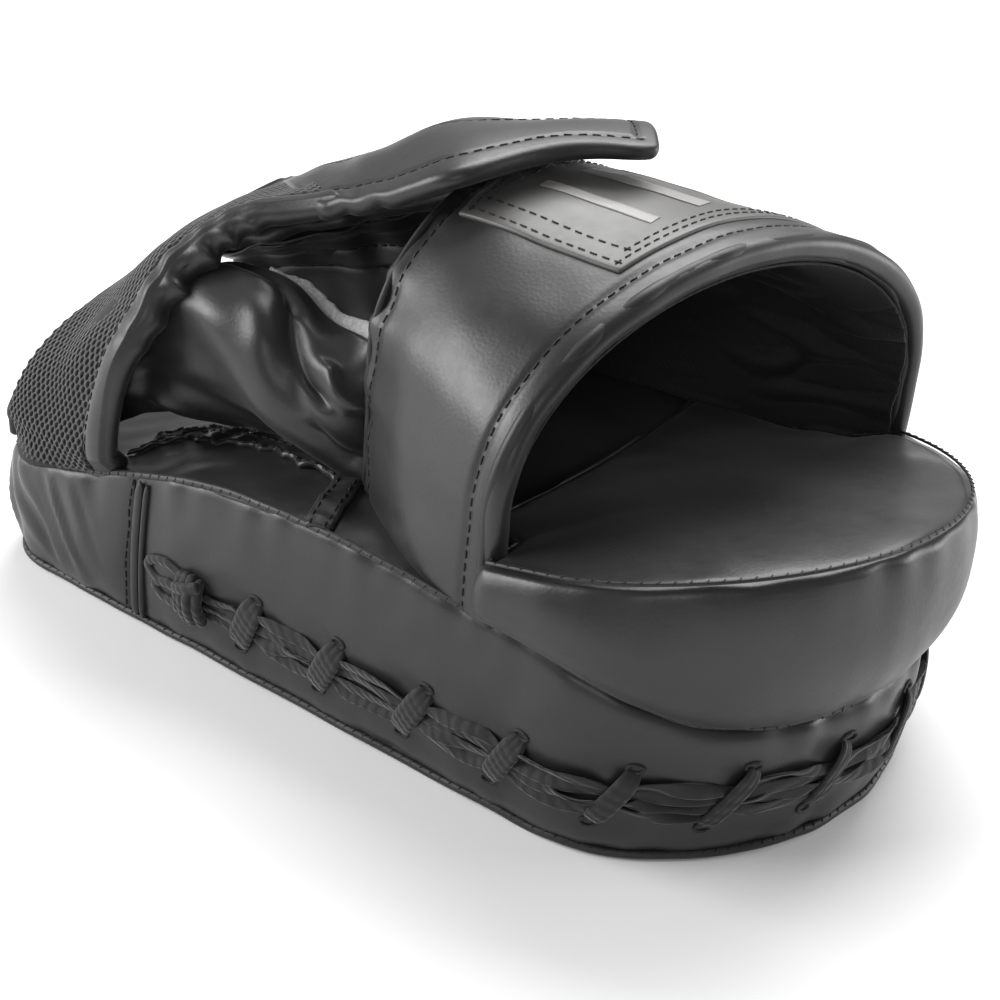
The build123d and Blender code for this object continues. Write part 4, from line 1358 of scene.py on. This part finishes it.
far_wall = make_far_wall()
done(far_wall, LEATHER, "pad", "leather", "far_wall", "far_wall_padding", fill=0.6)


def make_wall_lining():
    """Lining on the wall's inner side, with sewn rows that run toward the hood."""
    over, along = steps_grid((0.02, 0.99), 120, (0.02, 0.995), 90)
    points = wall_surface(over, along, 6.2)
    low = back_z(points[..., 1]) + 0.8
    points[..., 2] = np.maximum(points[..., 2], low)
    normal = turned_normals(points, 10, 40, 2)
    channels = 0.9 * sum(bell(over, row, 0.014) for row in WALL_ROWS)
    soft = 0.6 * ripple(points, 22, 155)
    points = points - normal * (soft * hump(along, 0.4) - channels)[..., None]
    return shell("far_wall_inside", points, 0.9, flip=faces_down(points, 10, 40, 2))


wall_lining = done(make_wall_lining(), LEATHER, "pad", "lining", "far_wall_lining")
wall_lines = [wall_surface(np.full(50, row), np.linspace(0.08, 0.99, 50), 6.2) for row in WALL_ROWS]
wall_threads = [stitch_line(wall_lining, line, 3.6, 2.6, 0.32, 0.25) for line in wall_lines]


def wall_plate(name, over_span, along_span, inset):
    """A patch on the wall: outside it for a negative inset, on its lining for a positive one."""
    over, along = steps_grid(over_span, 50, along_span, 50)
    target = far_wall if inset < 0 else wall_lining
    spots, ups = press(target, wall_surface(over, along, inset).reshape(-1, 3))
    grid = (spots + ups).reshape(50, 50, 3)
    return shell(name, grid, 1.2, flip=outward_flip(grid, ups.reshape(50, 50, 3)))


loop_cover = wall_plate("loop_patch_cover", (0.04, 0.36), (0.61, 0.94), -2.0)
done(loop_cover, LOOP_PILE, "pad", "loop_pile", "loop_patch")
inner_cover = wall_plate("inner_patch_cover", (0.12, 0.30), (0.30, 0.54), 9.0)
done(inner_cover, LEATHER_TRIM, "pad", "lining", "inner_patch")
sew("wall_stitches", wall_threads)


# ---- cuff and strap -------------------------------------------------------------------------
# rear and front edge of the band's middle surface, from the pad's edge up and over to the
# strap's tip, each (x, distance from the heel, height)
BAND = np.array([
    [(65, 11, 42.5), (75, 61.5, 51.5)],
    [(65, 11.5, 47), (75, 62, 56)],
    [(60, 17, 60), (75, 65, 73)],
    [(48, 24, 73), (69, 69, 92)],
    [(32, 33, 85), (54, 72, 109)],
    [(14, 42, 97), (42, 85, 120.5)],
    [(-6, 57, 109.5), (34, 106, 127)],
    [(-13, 85, 125), (33, 127, 136)],
    [(-18, 111, 138), (28, 142, 144.5)],
    [(-29, 131, 141), (3, 153, 146.5)],
    [(-41, 151, 141.5), (-13, 172, 146)],
], float)
FOOT = 0.5                                         # stretch of the band below its first station
near_side = outline[(outline[:, 0] > 0) & (outline[:, 1] < 0)]
near_side = near_side[np.argsort(near_side[:, 1])]


def band_surface(run, across, lift=0.0):
    """`run` counts stations from the pad's edge, `across` goes from the rear edge (0) to the front (1).
    Below 0 the band goes down to the seam along the pad's edge."""
    run, across = np.broadcast_arrays(np.asarray(run, float), np.asarray(across, float))
    down = np.clip(-run / FOOT, 0, 1)[..., None]
    run = np.maximum(run, 0)
    edges = spline(BAND, run.ravel()).reshape(run.shape + (2, 3))
    ahead = spline(BAND, np.minimum(run + 0.05, len(BAND) - 1).ravel()).reshape(run.shape + (2, 3))
    behind = spline(BAND, np.maximum(run - 0.05, 0).ravel()).reshape(run.shape + (2, 3))
    points = edges[..., 0, :] + (edges[..., 1, :] - edges[..., 0, :]) * across[..., None]
    way = unit((ahead - behind).mean(-2))
    side = unit(edges[..., 1, :] - edges[..., 0, :])
    outward = unit(np.cross(side, way))
    points = points.copy()
    points[..., 1] = at(points[..., 1])
    crown = 1.8 * hump(np.clip(across, 0, 1))
    seam = np.stack([np.interp(points[..., 1], near_side[:, 1], near_side[:, 0]) - 1.4, points[..., 1],
                     back_z(points[..., 1]) + 0.5], axis=-1)
    points = points + (seam - points) * down + outward * (lift + crown)[..., None] * (1 - 0.75 * down)
    return points, outward


def band_grid(run_span, across_span, lift, rows, columns):
    return band_surface(*steps_grid(run_span, rows, across_span, columns), lift)


def base_blend(item, look, slot, *nodes, fill=None):
    """A cuff piece: its placement is baked into its mesh, and it gets its material and hides the nodes it
    stands for.
    """
    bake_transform(item)
    return dress(item, look, nodes)


def make_cuff_body():
    points, outward = band_grid((-FOOT, 6.02), (0.0, 0.95), 1.6, 160, 70)
    points = points + outward * (0.5 * ripple(points, 30, 161))[..., None]
    return shell("cuff_inside", points, 4.4, flip=outward_flip(points, outward), rim=4)


# the cuff's inside gets the lining, whose near-black colour is partly painted shade
base_blend(make_cuff_body(), LINING_WITH_PAINTED_SHADE, "lining", "cuff_lining", "cuff_padding", fill=0.6)


def hex_field(u, v, pitch):
    """0 in the middle of a mesh hole, rising to about 0.5 between holes."""
    a = np.stack(np.broadcast_arrays(u / pitch, v / (pitch * 0.75)), axis=-1)
    near = [np.linalg.norm((a + shift) % 1.0 - 0.5, axis=-1) for shift in (0.0, 0.5)]
    return np.minimum(*near)


def make_net():
    """Outer mesh of the cuff: a fine grid whose knit is pressed in at every hole."""
    points, outward = band_grid((-FOOT, 6.0), (-0.01, 0.845), 2.4, 320, 170)
    points = points + outward * (0.5 * ripple(points, 34, 163))[..., None]
    u, v = lengths(points[:, 85]), lengths(points[160])
    field = hex_field(u[:, None], v[None, :], MESH_PITCH / MM)
    raised = 0.75 * smooth_step(field, 0.14, 0.34)
    outer = points + outward * raised[..., None]
    rows, columns = outer.shape[:2]
    under = points - outward * 0.6
    loop = np.concatenate([outer, under[:, ::-1]], axis=1)
    uvs = np.concatenate([np.stack(np.meshgrid(u, v, indexing="ij"), -1),
                          np.stack(np.meshgrid(u, v[::-1], indexing="ij"), -1)], axis=1).reshape(-1, 2)
    faces = grid_faces(rows, columns * 2, False, True)
    total = columns * 2
    ends = []
    for base in (0, (rows - 1) * total):
        for k in range(columns - 1):
            ends.append([base + k, base + k + 1, base + total - 2 - k, base + total - 1 - k])
    faces = np.concatenate([faces, np.array(ends)])
    return mesh_object("cuff_net", loop.reshape(-1, 3), faces, uvs)


base_blend(make_net(), NET, "mesh", "cuff_mesh")


def make_cuff_rear_edge():
    run = np.linspace(-FOOT, 6.0, 160)
    points, outward = band_surface(run, np.full(160, 0.0), 0.6)
    points = points + ripple(points, 14, 165)[:, None] * 0.15
    grid, faces = tube_grid(points, outward, 1.6, 2.9, sides=14, taper=4)
    return mesh_object("cuff_rear_roll", grid, faces)


base_blend(make_cuff_rear_edge(), LEATHER_TRIM, "piping")


STRIP = 0.825                                      # where the cuff's smooth front strip begins


def make_strip():
    """Smooth padded leather strip along the cuff's front edge, creased only in its upper bend."""
    rows, columns = 300, 56
    points, outward = band_grid((-FOOT, 6.05), (STRIP, 1.0), 2.6, rows, columns)
    v = np.linspace(0, 1, columns)[None]
    u = np.linspace(0, 1, rows)[:, None]
    drop = -1.0 * (1 - smooth_step(v, 0, 0.10)) + 1.2 * hump(v, 0.8) - 1.2 * smooth_step(v, 0.86, 1.0)
    creases = ripple(np.stack(np.broadcast_arrays(u * 130 + 5 * v, v * 6), -1), 8.0, 171) * 0.24
    where = smooth_step(u, 0.44, 0.56) * smooth_step(u, 0.92, 0.74)
    push = drop + creases * where * hump(v, 0.5) + 0.18 * ripple(points, 26, 172)
    points = points + outward * push[..., None]
    run = np.linspace(-FOOT, 6.05, rows)[:, None]
    thick = 5.4 + 4.6 * bell(run, 3.9, 1.15)         # thicker where one looks in under it
    return shell("cuff_front_strip", points, thick, flip=outward_flip(points, outward), rim=7)


roll = base_blend(make_strip(), LEATHER, "leather", "cuff_binding", fill=0.7)
roll_line = band_surface(np.linspace(0.1, 5.9, 120), np.full(120, STRIP + 0.035), 4.2)[0]
dent(roll, [roll_line], 0.9, 0.45)
cuff_threads = join("cuff_stitches", [stitch_line(roll, roll_line, 3.4, 2.4, 0.26)])
base_blend(cuff_threads, THREAD, "lace")


def make_strap():
    """Fold-over strap: continues the cuff to the far side, thin and a little springy."""
    rows, columns = 190, 84
    points, outward = band_grid((5.85, 10.0), (0.0, 1.0), 1.6, rows, columns)
    u = np.linspace(0, 1, rows)[:, None]
    v = np.linspace(0, 1, columns)[None]
    corner = 0.09
    rounding = 1 - np.clip((u - (1 - corner)) / corner, 0, 1) ** 2.2 * 0.12
    middle = points[:, columns // 2][:, None]
    points = middle + (points - middle) * rounding[..., None]
    creases = ripple(np.stack(np.broadcast_arrays(u * 90 + 9 * v, v * 10), -1), 12, 181) * 0.35
    creases = creases * smooth_step(u, 0.45, 0.0)
    push = creases + 0.4 * ripple(points, 46, 182) + 1.2 * hump(v, 0.6)
    points = points + outward * push[..., None]
    thick = 5.4 - 1.2 * smooth_step(u, 0.7, 1.0) + 0 * v
    return shell("strap_body", points, thick, flip=outward_flip(points, outward), rim=7)


strap = make_strap()
strap_lines = [band_surface(np.linspace(6.0, 9.85, 120), np.full(120, k), 3.4)[0] for k in (0.86, 0.22)]
strap_lines.append(band_surface(np.full(50, 9.83), np.linspace(0.12, 0.86, 50), 3.4)[0])
dent(strap, strap_lines, 1.1, 0.6)
strap_threads = join("strap_stitches", [stitch_line(strap, line, 3.6, 2.4, 0.26) for line in strap_lines])


def root_blend(item, look, slot, *nodes, fill=None):
    """A strap piece: its placement is baked into its mesh, and it gets its material and hides the nodes it
    stands for.
    """
    root = band_surface(np.array([5.8, 6.7]), 0.5)[0] * MM
    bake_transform(item)
    return dress(item, look, nodes)


root_blend(strap, LEATHER, "leather", "strap_cover", "strap_padding", "strap_lining", fill=0.5)
root_blend(strap_threads, THREAD, "lace")


def make_hook():
    points, outward = band_grid((8.3, 9.7), (0.16, 0.60), -4.4, 50, 40)
    return shell("hook_patch_cover", points, 1.1, flip=outward_flip(points, outward))


done(make_hook(), HOOK, "strap", "hook_tape", "hook_patch")

# ---- carried-over nodes ---------------------------------------------------------------------
LOOKS = {"leather": LEATHER, "piping": LEATHER_TRIM, "foam": FOAM, "board": BOARD_LOOK, "lace": LACE,
         "lining": LINING_WITH_PAINTED_SHADE, "print_patch": PATCH, "felt": FELT, "loop_pile": LOOP_PILE, "hook_tape": HOOK,
         "mesh": NET}
for subpart in frame["record"]["subparts"]:
    cad_mesh = frame["nodes"][subpart["node"]].data
    cad_mesh.materials.clear()
    cad_mesh.materials.append(LOOKS[subpart["material_slot"]])


# ---- floor, lights and camera ---------------------------------------------------------------
def make_floor():
    """Plain pale floor."""
    r = 6.0
    mesh = bpy.data.meshes.new("floor")
    mesh.from_pydata([(-r, -r, 0), (r, -r, 0), (r, r, 0), (-r, r, 0)], [], [(0, 1, 2, 3)])
    floor = bpy.data.objects.new("floor", mesh)
    bpy.context.scene.collection.objects.link(floor)
    n = Nodes("floor")
    mesh.materials.append(n.finish(Base_Color=n.mix(n.noise(3), grey(0.93), grey(0.96)), Roughness=0.9))


def area_light(name, place, target, size, power):
    light = bpy.data.lights.new(name, "AREA")
    light.shape = "RECTANGLE"
    light.size, light.size_y = size
    light.energy = power
    item = bpy.data.objects.new(name, light)
    item.location = place
    item.rotation_euler = (Vector(target) - Vector(place)).to_track_quat("-Z", "Y").to_euler()
    bpy.context.scene.collection.objects.link(item)


WORLD_LIGHT = 0.24


def make_lights():
    """Soft studio light: a dim white world and four area lights, sizes in metres and power in watts."""
    world = bpy.data.worlds.new("studio")
    world.use_nodes = True
    world.node_tree.nodes["Background"].inputs["Color"].default_value = (1, 1, 1, 1)
    world.node_tree.nodes["Background"].inputs["Strength"].default_value = WORLD_LIGHT
    bpy.context.scene.world = world
    area_light("heel_side", (0.70, -1.00, 0.60), (0.02, -0.05, 0.05), (0.9, 0.7), 20)
    area_light("toe_side", (-0.95, 0.95, 0.35), (0, 0.08, 0.05), (0.8, 0.5), 9)
    area_light("above", (-0.75, -0.25, 1.15), (0, 0, 0.05), (1.1, 0.9), 26)
    area_light("front", (1.20, 0.75, 0.75), (0, 0.05, 0.04), (0.5, 0.5), 3)


CAMERA_PLACE = (0.34514, 0.22914, 0.28575)
CAMERA_TURNS = (56.5, 30.7, 4.41)                  # azimuth, elevation and roll
CAMERA_LENS, CAMERA_SHIFT = 59.14, (0.0205, -0.0168)


def make_camera():
    camera = bpy.data.cameras.new("camera")
    camera.sensor_width = 36
    camera.lens = CAMERA_LENS
    camera.shift_x, camera.shift_y = CAMERA_SHIFT
    item = bpy.data.objects.new("camera", camera)
    azimuth, elevation, roll = (math.radians(turn) for turn in CAMERA_TURNS)
    forward = Vector((-math.sin(azimuth) * math.cos(elevation), -math.cos(azimuth) * math.cos(elevation),
                      -math.sin(elevation)))
    level = forward.cross(Vector((0, 0, 1))).normalized()
    turned = Matrix.Rotation(-roll, 3, forward) @ level
    above = turned.cross(forward)
    item.matrix_world = Matrix((
        (turned.x, above.x, -forward.x, CAMERA_PLACE[0]),
        (turned.y, above.y, -forward.y, CAMERA_PLACE[1]),
        (turned.z, above.z, -forward.z, CAMERA_PLACE[2]),
        (0, 0, 0, 1)))
    bpy.context.scene.collection.objects.link(item)
    bpy.context.scene.camera = item


make_floor()
make_lights()
make_camera()
bpy.context.scene.view_settings.view_transform = "Standard"

bpy.context.view_layer.update()
